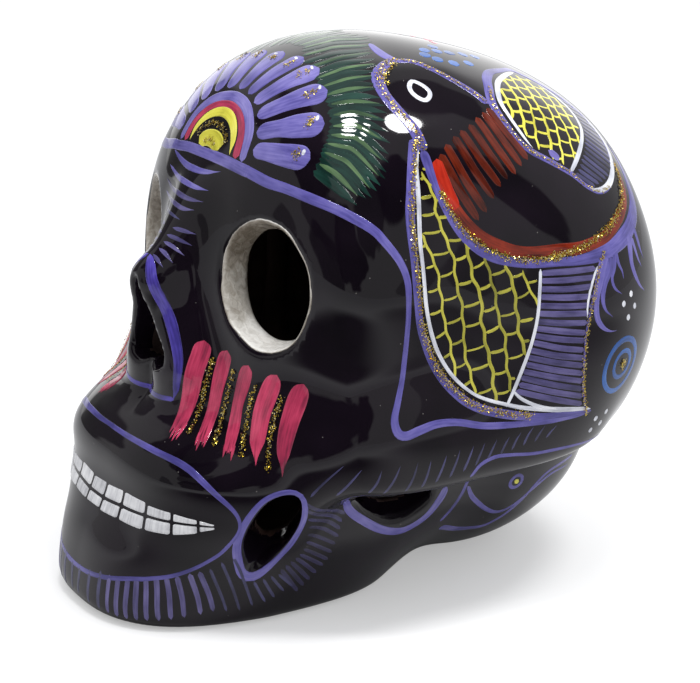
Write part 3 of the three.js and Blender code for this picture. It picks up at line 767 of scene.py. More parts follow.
# %% Paint
def brushed_paint(name, slot, thin, body, thick, gloss=1.0):
    """Acrylic paint from a soft brush, under varnish, and the slot it belongs to. Bristles leave
    streaks about half a millimetre wide along the stroke, from thin dark to thick light colour,
    and where the brush runs dry the black clay shows between them. Varnish bends light as much as
    the paint does, so only its own surface shines. UV is millimetres along and across the
    stroke / 100."""
    material, tree, shader = new_material(name)
    uv = add(tree, "UVMap", uv_map="brush")
    streaks = add(tree, "Mapping", {"Vector": uv, "Scale": (100 / 7, 100 / .45, 1)})
    blots = add(tree, "Mapping", {"Vector": uv, "Scale": (100 / 5, 100 / 2.2, 1)})
    bristle, pool = noise(tree, streaks, 1, 4), noise(tree, blots, 1, 2)
    data = add(tree, "SeparateColor", {"Color": add(tree, "Attribute", attribute_name="tone")})
    tone, cover = data.node.outputs["Red"], data.node.outputs["Green"]
    level = calc(tree, "MULTIPLY", calc(tree, "ADD", bristle, pool), tone)
    colour = ramp(tree, level, [(.28, thin), (.5, body), (.75, thick)])
    solid = carry(tree, calc(tree, "ADD", bristle, cover), .78, 1.02)
    seen = add(tree, "Mix", {"Factor": solid, 6: linear("#0d0b0f"), 7: colour}, 2,
               data_type="RGBA")
    wire(tree, shader, {"Base Color": seen, "Normal": bump(tree, bristle, .35, .08 * mm),
                        "Roughness": .4, "Specular IOR Level": 0, "Coat Weight": gloss,
                        "Coat Roughness": .05})
    return material, slot


purple = brushed_paint("purple_acrylic", "purple_paint", "#464180", "#6962a4", "#827bb8")
line_purple = brushed_paint("line_purple_acrylic", "purple_paint", "#3c3872", "#5b559a", "#736cab")
dull_purple = brushed_paint("purple_acrylic_thinned", "purple_paint", "#24233a", "#3b3a5b",
                            "#4a4874")
# bluer and darker than the other purples, for the nose lines; the darkness is painted shade, the
# blue is the paint's own
nose_purple_painted_shade = brushed_paint("nose_purple_acrylic_painted_shade", "purple_paint", "#2e2763", "#4c419b", "#6457b7")
wing_purple = brushed_paint("wing_purple_acrylic", "purple_paint", "#322f51", "#524c79", "#686190")
faint_purple = brushed_paint("purple_wash", "purple_paint", "#1f1c30", "#2c2846", "#3a365f")
raspberry = brushed_paint("raspberry_acrylic", "raspberry_paint", "#5f2438", "#a33250", "#c84566")
yellow = brushed_paint("yellow_acrylic", "yellow_paint", "#a9a332", "#d5cf4c", "#e6e068")
olive = brushed_paint("olive_acrylic", "yellow_paint", "#76742b", "#a5a03b", "#c0ba4b")
red = brushed_paint("red_acrylic", "red_paint", "#70130a", "#9f2416", "#bd3522")
brick = brushed_paint("brick_red_acrylic", "red_paint", "#280a06", "#521a0e", "#6c2615")
belly_brick = brushed_paint("brick_red_acrylic_thick", "red_paint", "#3a0d06", "#7a2411", "#963319")
white = brushed_paint("white_acrylic", "white_paint", "#9c9eaa", "#cfd1d9", "#ececf0")
tooth_white = brushed_paint("tooth_white_acrylic", "white_paint", "#97979c", "#c9c9cc", "#e4e4e5",
                            gloss=.6)
blue = brushed_paint("blue_acrylic", "blue_paint", "#1b3f78", "#28589f", "#3d70b8")
teal = brushed_paint("deep_green_acrylic", "clay", "#0c1d1a", "#132c27", "#1b3c34")
leaf = brushed_paint("leaf_green_acrylic", "clay", "#2b412c", "#465f41", "#5d7852")
print("paints:", [m.name for m in bpy.data.materials if "acrylic" in m.name])

# %% [markdown]
# ## Frames, brow line and cheeks
# The long lines come first, as the painter drew them: round the mouth, the nose and the holes, and
# from the brow down the temple. A real line swells and thins, so each stop has its own width.

# %% Long purple lines
rosette_stops = DrawingBoard([0, 50]).to_angles
mouth_half = [[0, -12, 1.2], [14, -12, 1.5], [25, -13.5, 1.7], [33, -19, 1.1], [35, -24, .8],
              [31.5, -28.7, 1], [27.6, -30.8, 1], [22.4, -31.8, 1.1],
              [18, -31.6, 1.1], [13.7, -31.3, 1.1], [7, -31.5, 1.2], [0, -31.9, 1.2]]
mouth_loop = mouth_half + [[-a, b, w] for a, b, w in mouth_half[-2:0:-1]]
lay("mouth_line", [stroke(mouth_loop, closed=True, both=False)], line_purple, ["mouth_frame"])
nose_lines = [
    stroke([[.4, 25.4, 1.2], [3.4, 22.6, 2.6], [6.6, 17, 2.8], [9.8, 11, 2.7], [12.3, 4, 2.5],
            [12.6, -1, 1.9], [12, -4.8, .9]], end=2),
    stroke([[-12, -4.2, .9], [-6, -5, 1.1], [0, -5.1, 1.2], [6, -5, 1.3], [12.2, -4.4, 1.1]],
           both=False)]
# the nose lines use the purple that is darkened as painted shade
lay("nose_lines", nose_lines, nose_purple_painted_shade, ["nose_frame"])
base_line = rosette_stops([[-19, -.9, 2.3], [-9, -1.2, 2.6], [0, -1.3, 2.6], [9, -1.2, 2.7],
                           [19, -.9, 2.6]])
lay("rosette_base_line", [stroke(base_line, both=False)], purple, ["rosette_base"])
brow_stops = [*rosette_stops([[15, -1, 2.3], [19, -.95, 2.5]]), [31, 45.1, 2.5], [38, 43.8, 2.3],
              [51, 40.5, 2.3], [59.1, 37.5, 2.3], [62.7, 35, 2], [66.3, 31.5, 1.8],
              [68.1, 27.8, 1.6], [68.6, 22.5, 1.4], [68.6, 16.3, 1.3], [68.3, 8.9, 1.3],
              [67.2, 2.8, 1.4], [66.4, -1.4, 1.6], [67.2, -4.2, 2], [69.1, -4.9, 2.1],
              [72.2, -4, 2.1], [76.4, -3.1, 1.9], [81.8, -3.5, 1.7], [89.3, -5.3, 1.7],
              [96.7, -6, 1.6], [103.7, -6.1, 1.5], [110.9, -5.9, 1.2], [117.8, -5.9, .8]]
lay("brow_lines", [stroke(brow_stops, end=3)], line_purple, pair("brow_line"))

hole_widths = (1.5, 1.4, 1.9, 2.4, 2.5, 2.1, 2.2, 2)
lay("jaw_hole_rings", [stroke(jaw_outline, hole_widths, closed=True, aside=-1.35)], line_purple,
    pair("jaw_hole_border"), field=clay_distance)
shelf_bow = [[56.5, -23.5, 1.6], [58, -29, 2.1], [64, -35, 2.2], [71, -39.8, 2.1],
             [80, -43, 2.1], [88, -42.5, 2.5], [93.5, -38.5, 3.1], [95.5, -35.2, 2.6]]
lay("shelf_hole_bows", [stroke(shelf_bow)], line_purple, pair("shelf_hole_border"))

# %% Raspberry cheek strokes
cheek_strokes = np.array([
    [[16.2, 10.3, 3.6], [16.3, 7.4, 4.5], [16, 1, 4.3], [15.9, -5.5, 3.9], [16.8, -9.2, 3.3]],
    [[23.2, 9.2, 3], [22.7, 6.6, 3.8], [22, -.4, 3.4], [22.7, -6.2, 3.3], [24, -9.8, 2.7]],
    [[30.7, 7, 3.4], [29.9, 4, 4.2], [29.1, -2.4, 3.5], [29.9, -7.6, 3.1], [30.7, -10.8, 2.3]],
    [[38.8, 6.2, 3.2], [37.4, 2.6, 4.8], [36.1, -3, 4.7], [36.2, -8.5, 3.7], [37, -12.6, 1.2]],
    [[45.5, 5, 3.2], [44.4, 1.5, 4.7], [43.1, -4, 4.5], [42.6, -9.1, 3.4], [42.8, -14.4, .7]]])
ragged_ends = 3
for i, stops in enumerate(cheek_strokes):
    ragged = i < ragged_ends
    dabs = [stroke(stops, start=.8, end=.5 if ragged else 2, thin=.5, proud=.13)]
    # the bristles part as the brush lifts, so the end is ragged
    low, step = stops[-1, :2], unit((stops[-1] - stops[-2])[:2])
    for share in (-.36, -.12, .12, .36) if ragged else ():
        begin = low - step * 1.5 + [share * stops[-1, 2] * 1.05, 0]
        dabs.append(stroke([begin, begin + step * (1.7 + chance.random() * 1.1)], (.9, .6),
                           end=4, thin=.3, proud=.12))
    lay(f"cheek_dab_{i + 1}", dabs, raspberry,
        [f"cheek_stroke_left_{i + 1}", f"cheek_stroke_right_{i + 1}"])

# %% [markdown]
# ## Forehead rosette
# A half flower sits on the brow like a rising sun: a yellow core, a yellow crescent, a raspberry
# arc, a purple ring and eleven petals. All of it is drawn on a flat board that touches the brow.

# %% Rosette
def arc(radius, start, widths, tall=None):
    """Half circle, or half oval with `tall`, on the rosette's board, with a width at each of its
    evenly spaced stops."""
    turns = np.linspace(start, 180 - start, len(widths))
    return rosette_stops(np.column_stack([polar(radius, turns, tall), widths]))


lay("rosette_core_paint", [stroke(arc(4.3, 6, [3.6, 4.4, 4.6, 4.6, 4.6, 4.4, 3.6], 2.4), start=.4,
                                  end=.4, both=False)], yellow, ["rosette_core"])
lay("rosette_crescent_paint", [stroke(arc(9.3, 3, [.9, 1.7, 2.2, 2.5, 2.6, 2.5, 2.2, 1.7, .9]),
                                      start=2, end=2, both=False)], yellow, ["rosette_crescent"])
lay("rosette_arc_paint", [stroke(arc(11.8, 1, [2.6, 2.1, 1.9, 1.9, 1.9, 2.1, 2.6]), both=False)],
    raspberry, ["rosette_arc"])
lay("rosette_ring_paint", [stroke(arc(14.4, 1, [2.2, 2.7, 2.9, 2.9, 2.9, 2.7, 2.2]), both=False)],
    purple, ["rosette_ring"])
# each petal's turn at its root and at its tip, how far out the tip is, and how wide it is; the
# flower leans a little, as it was drawn in one sweep of the hand
petals = [(13, 17, 35.5, 6.3), (28, 34, 39, 6.6), (44, 50.5, 41.5, 6.7), (60, 64, 42, 6.4),
          (75, 76, 40, 6.1), (90, 90, 38, 6.3), (105, 104, 37.5, 6.6), (120, 117, 38.5, 6.9),
          (136, 131.5, 38.5, 7), (151, 147, 38, 6.8), (167, 163, 36, 6.4)]
petal_root = 16.9
petal_shares = np.linspace(0, 1, 8)
petal_widths = np.array([.6, .63, .7, .8, .9, .98, 1, .93])
for i, (low, high, end, wide) in enumerate(petals):
    marks = polar(petal_root + (end - petal_root) * petal_shares, low + (high - low) * petal_shares)
    one = stroke(rosette_stops(marks), petal_widths * wide, start=.7, end=.9, both=False, proud=.1)
    lay(f"petal_{i + 1}", [one], purple, [f"rosette_petal_{i + 1}"], spacing=.5)


def along_petals(inner, outer, swing=0):
    """Two stops near each petal's tip, so many millimetres short of its end."""
    return [rosette_stops(polar(end - np.array([inner, outer]), turn + swing))
            for _, turn, end, _ in petals]


tips = [stroke(stops, 1.7, both=False, proud=.14) for stops in along_petals(3.2, 1.8, 2)]
lay("petal_tip_touches", tips, white)

# %% Green brush strokes beyond the petals
# Each row is a stroke from the petals towards the bird, as three stops; the rest of the fan lies
# evenly between the rows.
green_rows = np.array([
    [(1, 74.6), (3, 80.2), (12, 85.6)], [(8, 74.8), (22, 81.4), (60, 85)],
    [(14, 72.8), (31, 78), (62, 81)], [(25.5, 69.2), (40, 73.6), (60, 77)],
    [(34, 66), (46.5, 70.2), (63, 72.8)], [(37.8, 64), (49.6, 67), (61.8, 68.6)],
    [(41, 62), (51.6, 64.2), (61.8, 64.8)], [(43.6, 59.6), (53.4, 61.1), (63.4, 61)],
    [(45.2, 57.3), (54.2, 58.6), (64, 57.6)], [(45.7, 55.2), (54.8, 55.5), (64.4, 52.6)],
    [(45.6, 53.4), (55, 52.8), (63.7, 48.6)], [(45.1, 51.7), (54.1, 50.3), (62, 45.6)],
    [(44.6, 49.8), (52.5, 47.8), (59.4, 43.7)], [(43.6, 47.4), (49.8, 44.6), (55.6, 41.4)]], float)
green_strokes, leaf_strokes = [], []
for j, f in enumerate(np.linspace(0, len(green_rows) - 1, 29)):
    i = min(int(f), len(green_rows) - 2)
    stops = green_rows[i] * (1 - f + i) + green_rows[i + 1] * (f - i)
    stops = stops + chance.normal(0, .12, stops.shape) * [[1], [.5], [1.6]]
    stops = np.insert(stops, 1, (stops[0] + stops[1]) / 2 + [0, .12], 0)
    wide = (2.1 + .3 * chance.random()) * np.array([.8, 1, 1, .6])
    green_strokes.append(stroke(stops, wide, start=1.2, end=3, thin=.3, proud=.05))
    if j % 2:
        lift = stops + [[.6, .2], [.4, .25], [-.2, .25], [-1.8, .3]]
        wide = (1 + .35 * chance.random()) * np.array([.7, 1, 1, .5])
        leaf_strokes.append(stroke(lift, wide, start=3, end=5, thin=.5, proud=.07))
lay("green_fan", green_strokes, teal)
lay("green_fan_lights", leaf_strokes, leaf)

# %% [markdown]
# ## The bird
# A bird lies along each side of the crown, a common folk motif: a beak towards the brow, a ringed
# eye, a breast of red bars, two wings filled with a net like fish scale, and a tail that ends in
# curled feathers. Its outline is two lines side by side, purple and red, with glitter on top.

# %% Bird outline, eye and breast
bird_back = [[59, 80.4, 1.4], [64, 77.6, 2.3], [70, 75, 2.5], [76, 73.8, 1.8], [85, 73.5, 1.8],
             [93, 71, 1.8], [99, 67.7, 1.9], [104, 64.2, 2.1], [107.5, 60.5, 2.2]]
bird_head = [[73, 74, 1.8], [66.8, 72.1, 2.7], [62.2, 69, 3], [62.8, 65.5, 2.9], [66, 62.2, 2.8],
             [70, 59.3, 2.7], [73.2, 56.4, 3], [75.2, 52.6, 2.5]]
belly_purple = [[74.6, 53, 2.5], [76.8, 47.5, 2.3], [80.4, 41.4, 2.3], [85, 36.8, 2.3],
                [91.5, 32.7, 2.3], [99, 29.9, 2.1], [109, 28, 2.1], [114, 27.1, 2.3],
                [120.6, 26.5, 3.4], [125.8, 26.9, 4.2], [132, 28, 4.4], [139.4, 30.2, 4.2],
                [146, 35, 3.4], [150, 41, 2]]
belly_red = [[79, 50.6, 2.4], [80.4, 46.4, 2.9], [83, 42.2, 3], [87, 38.4, 2.9], [93, 34.8, 2.7],
             [100, 32, 2.6], [109.5, 30.3, 2.8], [114.9, 29.2, 3], [121.5, 29.1, 3.2],
             [127.5, 30.2, 3.2], [133, 31.7, 3], [139, 34.3, 2.6], [143.5, 38.6, 1.7]]
lay("bird_back_lines", [stroke(bird_back)], line_purple, pair("bird_back"))
lay("bird_head_lines", [stroke(bird_head)], line_purple, pair("bird_head"))
lay("bird_belly_shadow_lines", [stroke(belly_purple, end=3)], line_purple)
lay("bird_belly_lines", [stroke(belly_red, end=3, proud=.12)], belly_brick, pair("bird_belly"))
eye_ring = [[76.2, 66.9, 1.1], [78.2, 67.8, 1.1], [80.8, 67.3, 1.1], [83.2, 66.2, 1.2],
            [84.1, 65, 1.1], [83, 63.9, 1.1], [80.6, 63.1, 1.2], [78, 63.6, 1.2], [76, 64.7, 1.1],
            [75.5, 65.8, 1.1]]
lay("bird_eye_rings", [stroke(eye_ring, closed=True, proud=.12)], white, pair("bird_eye"))

bar_tops = np.array([[105.4, 59.8], [102.3, 59.2], [98.3, 58.5], [94.2, 57.4], [90, 56.5],
                     [86.6, 55.5], [83, 54.1], [80.4, 52.3]])
bar_ends = np.array([[109.6, 48.2], [106.5, 47.5], [103.5, 46.4], [100.4, 46], [97.6, 45],
                     [94.7, 43.2], [91.8, 41], [89.2, 39.8]])
bar_swell = np.array([.95, 1, 1, .95, .7])
breast = []
for top, end, wide in zip(bar_tops, bar_ends, (2.6, 2.15, 2.15, 2.1, 2.1, 2.2, 2.2, 2.3)):
    middle = (top + end) / 2 - [.3, .1]
    rows = [top, (top + middle) / 2, middle, (end + middle) / 2, end]
    breast.append(stroke(rows, wide * bar_swell, start=.9, end=1.6, thin=.2, wobble=.02))
lay("bird_breast_bars", breast, brick)
lay("bird_breast_touch", [stroke([[78.9, 51.4, 2.8], [79.5, 48.7, 3.6], [80.9, 45.2, 3.7],
                                  [83.2, 41.9, 3]], start=.6, end=1.5, proud=.14)], red)

# %% Wing outlines
upper_wing = [[150, 63.5, 1.6], [133, 66.2, 2.2], [123, 65.8, 2.6], [116.5, 64, 2.8],
              [110.4, 61, 2.7], [108.6, 57.4, 2.4], [109.5, 53, 2.1], [112, 49.6, 1.9],
              [117, 46.2, 1.8], [121.5, 42.6, 1.6], [124.5, 39, 1.4], [128, 36.9, 1.4],
              [133, 36.6, 1.3], [140, 38.4, 1.4], [147, 41.6, 1.6], [152, 47, 1.9],
              [154.5, 55, 1.8], [153, 60.5, 1.6]]
lay("upper_wing_lines", [stroke(upper_wing, closed=True)], line_purple, pair("bird_upper_wing"))
lower_wing = [[72.6, 55, 2.6], [71, 50.5, 2.6], [69.7, 45, 2.3], [69.2, 39, 2.2], [70, 31, 2],
              [71.4, 21, 1.9], [73.6, 15, 1.9], [77, 8.6, 2], [81.5, 3.4, 2.1], [87, -.6, 2.2],
              [94, -3, 2.2], [103, -4.6, 2], [112, -5, 1.8], [119, -5.4, 1.2]]
wing_edge = [[121.1, 27.1, .8], [118.6, 24.4, .8], [116.2, 20.3, .8], [114.6, 16.4, .7],
             [113.5, 12.3, .6], [113.6, 7.8, .6], [114.3, 3, .6], [115.2, -.7, .6],
             [117.6, -6.5, .6]]
lay("lower_wing_lines", [stroke(lower_wing), stroke(wing_edge)], line_purple,
    pair("bird_lower_wing"))
white_lines = [
    stroke([[73.6, 53.6, .5], [72, 49.8, .9], [71.7, 44, 1.2], [71.4, 38, 1.1], [72.1, 31, 1],
            [73, 24, 1], [74.8, 18, 1], [77.6, 12.2, .9], [81.4, 7, .9], [86, 3, .8],
            [91, .4, .8], [97.5, -1.6, 1], [104, -2.9, 1.2], [111, -4, 1.4], [118.6, -5, .9]],
           start=4, end=3),
    stroke([[103.8, 27.8, .8], [102.8, 22.7, .9], [101.5, 15.6, .9], [99.7, 8.7, .9],
            [97.6, 2.8, .9], [95.6, -1.6, .7]]),
    stroke([[96.8, 2.4, .6], [99.5, -.2, .8], [104, -2.4, .9], [110, -3.8, .9]], start=3, end=4),
    stroke([[118.2, 24.8, .5], [116.5, 23, .7], [115, 20.6, .7], [114, 18, .6], [113.7, 15.5, .3]],
           start=3, end=4),
    stroke([[150, 62.4, .9], [140, 63.8, 1.3], [127, 64, 1.6], [119.4, 62.6, 1.6],
            [114.3, 60.1, 1.4], [112.8, 57.3, 1.1], [112.5, 54.5, 1], [112.9, 51.4, .8],
            [113.6, 49.8, .6]], start=3, end=4),
    stroke([[152.2, 57.5, .7], [148.6, 51.5, .9], [142.4, 47.8, 1], [137, 46.3, 1.1],
            [131.3, 45.1, 1.2], [125.9, 43.8, 1.2], [122, 42.7, .9]]),
    stroke([[152, 47.4, .8], [147.4, 41.8, 1.4], [140.6, 38.6, 1.7], [133.4, 36.9, 1.7],
            [128, 37.1, 1.3], [124.6, 38.8, .8]], start=3, end=4, proud=.13)]
lay("wing_white_lines", white_lines, white)
lay("wing_root_touch", [stroke([[118.6, 48.2, 1.9], [119.6, 47, 2.4], [120.8, 45.6, 1.9]])],
    purple)


# %% Wing nets
def inside_outline(marks, ring):
    """Whether marks on a board lie inside a closed outline, by counting crossings to the right."""
    x, y = marks[:, :1], marks[:, 1:]
    (ax, ay), (bx, by) = ring.T, np.roll(ring, -1, 0).T
    climb = np.where(by == ay, 1e-9, by - ay)
    hit = ((ay > y) != (by > y)) & (x < ax + (y - ay) / climb * (bx - ax))
    return hit.sum(1) % 2 == 1


def scale_net(board, outline, wide, tall, tilt, line, lean=0):
    """Fish-scale net. Upright i runs at x = i wide plus a swing of 0.05 wide once a cell and a slow
    wander. Rungs join it to the next upright once a cell, half a cell out of step with their
    neighbours, and each turns up where it meets the far upright: rise = tall (0.17 u^3 - 0.05),
    less lean times the way across. Lines are cut off at the outline."""
    ring = board.to_marks(outline)
    c, s = np.cos(np.radians(tilt)), np.sin(np.radians(tilt))
    spin = np.array([[c, s], [-s, c]])
    lows, highs = (ring @ spin.T).min(0) - wide, (ring @ spin.T).max(0) + wide
    first, last = int(np.floor(lows[0] / wide)), int(np.ceil(highs[0] / wide))
    t = np.arange(lows[1], highs[1], .45)
    drift = {i: wander(len(t), 12, .09 * wide) for i in range(first, last + 2)}

    def upright(i, at):
        swing = .05 * wide * np.cos(2 * np.pi * (at / tall - .5 * (i % 2)))
        return i * wide + swing + np.interp(at, t, drift[i])

    lines = []
    for i in range(first, last + 1):
        lines.append((np.column_stack([upright(i, t), t]), 1.0))
        for k in range(int(np.floor(lows[1] / tall)) - 1, int(np.ceil(highs[1] / tall)) + 1):
            level = (k + .5 * (i % 2)) * tall + chance.normal(0, .06) * tall
            if not lows[1] < level < highs[1]:
                continue
            u = np.linspace(0, 1, 9)
            ends = [upright(i, np.array([level]))[0], upright(i + 1, np.array([level]))[0]]
            sag = tall * (.17 * u ** 3 - .05 + chance.normal(0, .06) * (u - .5))
            across = u * (ends[1] - ends[0])
            lines.append((np.column_stack([ends[0] + across, level + sag - lean * across]), .9))
    strokes = []
    for path, share in lines:
        marks = path @ spin
        kept = inside_outline(marks, ring)
        edges = np.flatnonzero(np.diff(np.r_[False, kept, False].astype(int)))
        for a, b in zip(edges[::2], edges[1::2]):
            if b - a >= 3:
                part = marks[a:b:2] if b - a > 9 else marks[a:b]
                thick = line * share * (.75 + .5 * chance.random())
                strokes.append(stroke(board.to_angles(part), thick, thin=.3 * chance.random(),
                                      proud=.05))
    return strokes


lower_board = DrawingBoard([88, 22])
lower_net = [[74.8, 52], [77.8, 46], [81.6, 40.4], [86.5, 35.8], [92, 32], [98, 29.4], [103.4, 28],
             [102.4, 22], [101.1, 15], [99.2, 8], [96.8, 2], [94.8, -1.2], [90, .4], [85, 3.4],
             [80.6, 8], [76.6, 14], [74.2, 20], [72.8, 27], [72, 34], [71.9, 41], [72.5, 48]]
upper_board = DrawingBoard([128, 54])
upper_net = [[148, 62.4], [140, 63.6], [127, 63.8], [119.4, 62.4], [114.3, 59.9], [113, 57.3],
             [113, 54.5], [113.6, 51.4], [115, 49], [119.6, 45], [122, 43.2], [125.9, 44.2],
             [131.3, 45.5], [137, 46.7], [142.4, 48.2], [148.2, 51.8], [151.6, 57.5]]
lay("lower_wing_net", scale_net(lower_board, lower_net, 4.3, 5, 14, .72, .2), olive, spacing=.8)
lay("upper_wing_net", scale_net(upper_board, upper_net, 3.4, 3.9, -31, .75), yellow, spacing=.8)


# %% Wing bars
def bars(left, right, count, wide):
    """Evenly spaced strokes from one line of stops to another, with a slight droop."""
    sides = []
    for line in (smooth_path(left), smooth_path(right)):
        along = np.append(0, np.cumsum(np.hypot(*np.diff(line, axis=0).T)))
        at = (np.arange(count) + .6) / count * along[-1]
        sides.append(np.column_stack([np.interp(at, along, column) for column in line.T]))
    strokes = []
    for begin, end in zip(*sides):
        rows = np.array([begin - [.5, 0], (begin + end) / 2 - [0, .2], end + [.5, 0]])
        rows += chance.normal(0, .07, rows.shape)
        strokes.append(stroke(rows, (wide * .9, wide, wide * .9), start=.6, end=.8,
                              thin=.25 * chance.random(), wobble=.03, proud=.06))
    return strokes


lower_sides = ([[104.2, 28], [102.6, 19.7], [101.4, 13.4], [99.9, 7.6], [98.2, 1.4]],
               [[117.6, 25.6], [113.5, 15.2], [113, 9], [113.9, 2.7], [115.2, -4]])
upper_sides = ([[151.5, 53.5], [146, 48.4], [139, 46], [131, 44], [123, 41.8]],
               [[155, 49.5], [149.6, 42.6], [143, 39.4], [135, 38], [126, 38]])
lay("lower_wing_bars", bars(*lower_sides, 17, 1.45), wing_purple)
lay("upper_wing_bars", bars(*upper_sides, 17, 1.3), dull_purple)

# %% Feathers, dots and rings
feathers = [
    [[121.4, 26, 3.2], [118.6, 22.5, 2.6], [117, 20.1, 2.1], [116.2, 17.5, 1.8], [116.4, 14.8, 1.6],
     [117.8, 12.8, 1.3], [119.9, 11.5, 1], [122, 11.1, .6]],
    [[122.6, 25.4, 3], [121.4, 23.1, 2.2], [119.2, 20.9, 1.6], [118.1, 18.4, 1.4], [118.6, 16, 1.1],
     [120.6, 14.1, .7]],
    [[124.1, 25.8, 2], [122.9, 23.2, 1.2], [121.5, 21.4, 1], [121.9, 19.4, 1], [123.9, 17.7, .7]],
    [[124.6, 26, 1.6], [124.5, 23.6, 1], [125.1, 21.9, .8], [125.1, 20.3, .5]],
    [[131.5, 27.4, 3], [129.5, 23.6, 2], [129.3, 20.9, 1.6], [130.8, 17.8, 1.3], [133, 16, .8]],
    [[134.8, 28.6, 2], [134.5, 23.8, 1.2], [135, 21.5, .6]],
    [[132, 26.6, 1.6], [132.2, 22.6, .9], [133.1, 20.4, .5]],
]
lay("tail_feathers", [stroke(f, start=1, end=4, wobble=.04) for f in feathers], line_purple)


def dot(turn, rise, size, **more):
    """A touch of the brush's point: a short upright stroke."""
    reach = size * .42
    tilt = np.pi / 2 + chance.normal(0, .3)
    at = np.array([turn, rise])
    step = np.array([np.cos(tilt) / max(np.cos(np.radians(rise)), .3), np.sin(tilt)]) * reach
    return stroke([at - step, at + step], size, wobble=.04, **more)


white_dots = [dot(a, b, 1.5) for a, b in ((127, 17), (124.2, 15.8), (128.1, 14.4), (125.7, 12.8),
                                           (125.5, -7.1), (121.8, -7.9), (124.7, -9.6),
                                           (121.3, -10.6))]
lay("white_dots", white_dots, white)


def circle(board, radius, wide, count=12, **more):
    """A ring round the middle of a board."""
    marks = polar(radius, np.arange(count) * 360 / count)
    return stroke(board.to_angles(marks), wide, closed=True, **more)


lay("blue_rings", [circle(DrawingBoard([125.7, 3.2]), 6.5, 1.5, wobble=.08)], blue,
    pair("blue_ring"))
lay("blue_inner_rings", [circle(DrawingBoard([125.9, 3.4]), 3.4, 1.2, 9, wobble=.08)], blue)
blue_dabs = []
for turn, rise in ((101, 75.4), (105.6, 73.4), (113.6, 71.4), (125.5, 70.2), (108, 77),
                   (118.6, 75.8), (128, 74.4), (139, 72.4), (146, 70.2), (128, 77.6)):
    reach = 1.5 / np.cos(np.radians(rise)) / 1.3
    tilt = chance.normal(0, .3)
    blue_dabs.append(stroke([[turn - reach, rise - tilt, 2.6], [turn + reach, rise + tilt, 2.8]],
                            start=.8, end=1, thin=.2))
lay("blue_dabs", blue_dabs, blue)
lay("crown_red_dabs", [stroke([[a, 77.4, 1.7], [a + 9, 78.6, 1.9]], end=2, thin=.3)
                       for a in (148, 164)], raspberry)

# %% [markdown]
# ## Hatching
# Short strokes in thinned purple fill the chin, the jaw, the edge of the cheekbone and the top of
# the nose. They fade where the brush ran dry.

# %% Hatch strokes
def hatch(row, widths, **more):
    """A straight stroke from one end to the other, as three stops."""
    a, b, c, d = row
    return stroke([(a, b), ((a + c) / 2, (b + d) / 2), (c, d)], widths, **more)


chin = [(1.6, -31.4, 1.2, -35.4), (5, -31.2, 4.8, -35.8), (8, -30.8, 7.8, -36),
        (10.3, -31, 10.1, -36.2), (12.2, -31.2, 12, -36.6), (14.1, -31.3, 14, -36.9),
        (15.8, -31.4, 15.9, -37.2), (17.4, -31.5, 17.7, -37.5), (19.1, -31.6, 19.5, -37.9),
        (20.8, -31.8, 21.4, -38.4), (22.6, -32, 23.4, -39), (24.7, -32.1, 25.8, -39.8),
        (26.4, -32.2, 27.8, -40.4), (28.2, -32.2, 29.9, -41.6), (30.2, -31.6, 32.2, -42.8),
        (32.4, -31.2, 34.6, -43.2), (35.2, -38.6, 37, -44), (36.9, -39.2, 38.9, -44.3),
        (38.4, -39.6, 40.9, -44.5), (39.9, -40.2, 42.9, -44.8)]
chin_bright, chin_dull = [], []
for i, row in enumerate(chin):
    wide = 1.3 if 4 <= i <= 12 else 1.1 if i < 4 else .75
    one = hatch(row, (wide, wide, wide * .85), end=1.6, thin=.4, wobble=.05)
    (chin_bright if 3 <= i <= 12 else chin_dull).append(one)
lay("chin_hatch", chin_bright, wing_purple)
lay("chin_hatch_thin", chin_dull, dull_purple)
jaw_rows = np.array([(47.9, -19.8, 56.6, -29.3), (48.2, -22.7, 55.6, -31.9),
                     (48.2, -27.7, 55.3, -34.8), (47.4, -31.8, 54.3, -37.6),
                     (46.6, -35.3, 52.9, -41), (45.2, -37.3, 51.2, -42.9),
                     (43.8, -38.2, 48.4, -44.9), (42, -38.9, 46, -46.1),
                     (40.5, -39.4, 43.9, -46.6)])
jaw = [[np.interp(f, np.arange(9), column) for column in jaw_rows.T]
       for f in np.linspace(0, 8, 12)]
lay("jaw_hatch", [hatch(row, (1, 1.1, 1), end=1.5, thin=.35, wobble=.03, proud=.04)
                  for row in jaw], faint_purple)
shelf = [[(49, -18.4), (51.6, -15.4), (55.8, -11.4)], [(54.4, -18.6), (57, -15.6), (59.6, -12)],
         [(61.4, -18), (63.2, -14.8), (64, -12)], [(64.8, -18.2), (66.8, -14.4), (68, -11.2)],
         [(69.8, -18), (71.2, -14.4), (72, -11)], [(73.6, -17.4), (74.6, -14), (75.2, -10.8)],
         [(77, -16.6), (78.4, -13), (79.2, -10.4)], [(80.6, -16), (82, -12.4), (82.8, -9.8)],
         [(84.2, -15.2), (85.6, -12), (86.6, -9.6)], [(87.6, -14.4), (88.8, -11.6), (89.8, -9.4)],
         [(91, -13.6), (92.2, -11), (93.2, -9)], [(94.6, -13), (95.8, -10.4), (96.8, -8.8)],
         [(97.8, -12.2), (98.8, -9.8), (100, -8)], [(101, -11.4), (102, -8.8), (103.2, -7)],
         [(104, -10.8), (105, -8.8), (106.2, -7)], [(107, -10.2), (108, -8.8), (109.4, -7.4)]]
lay("shelf_hatch", [stroke(row, (.7, .55, .3), start=2, end=5, wobble=.03) for row in shelf],
    dull_purple)
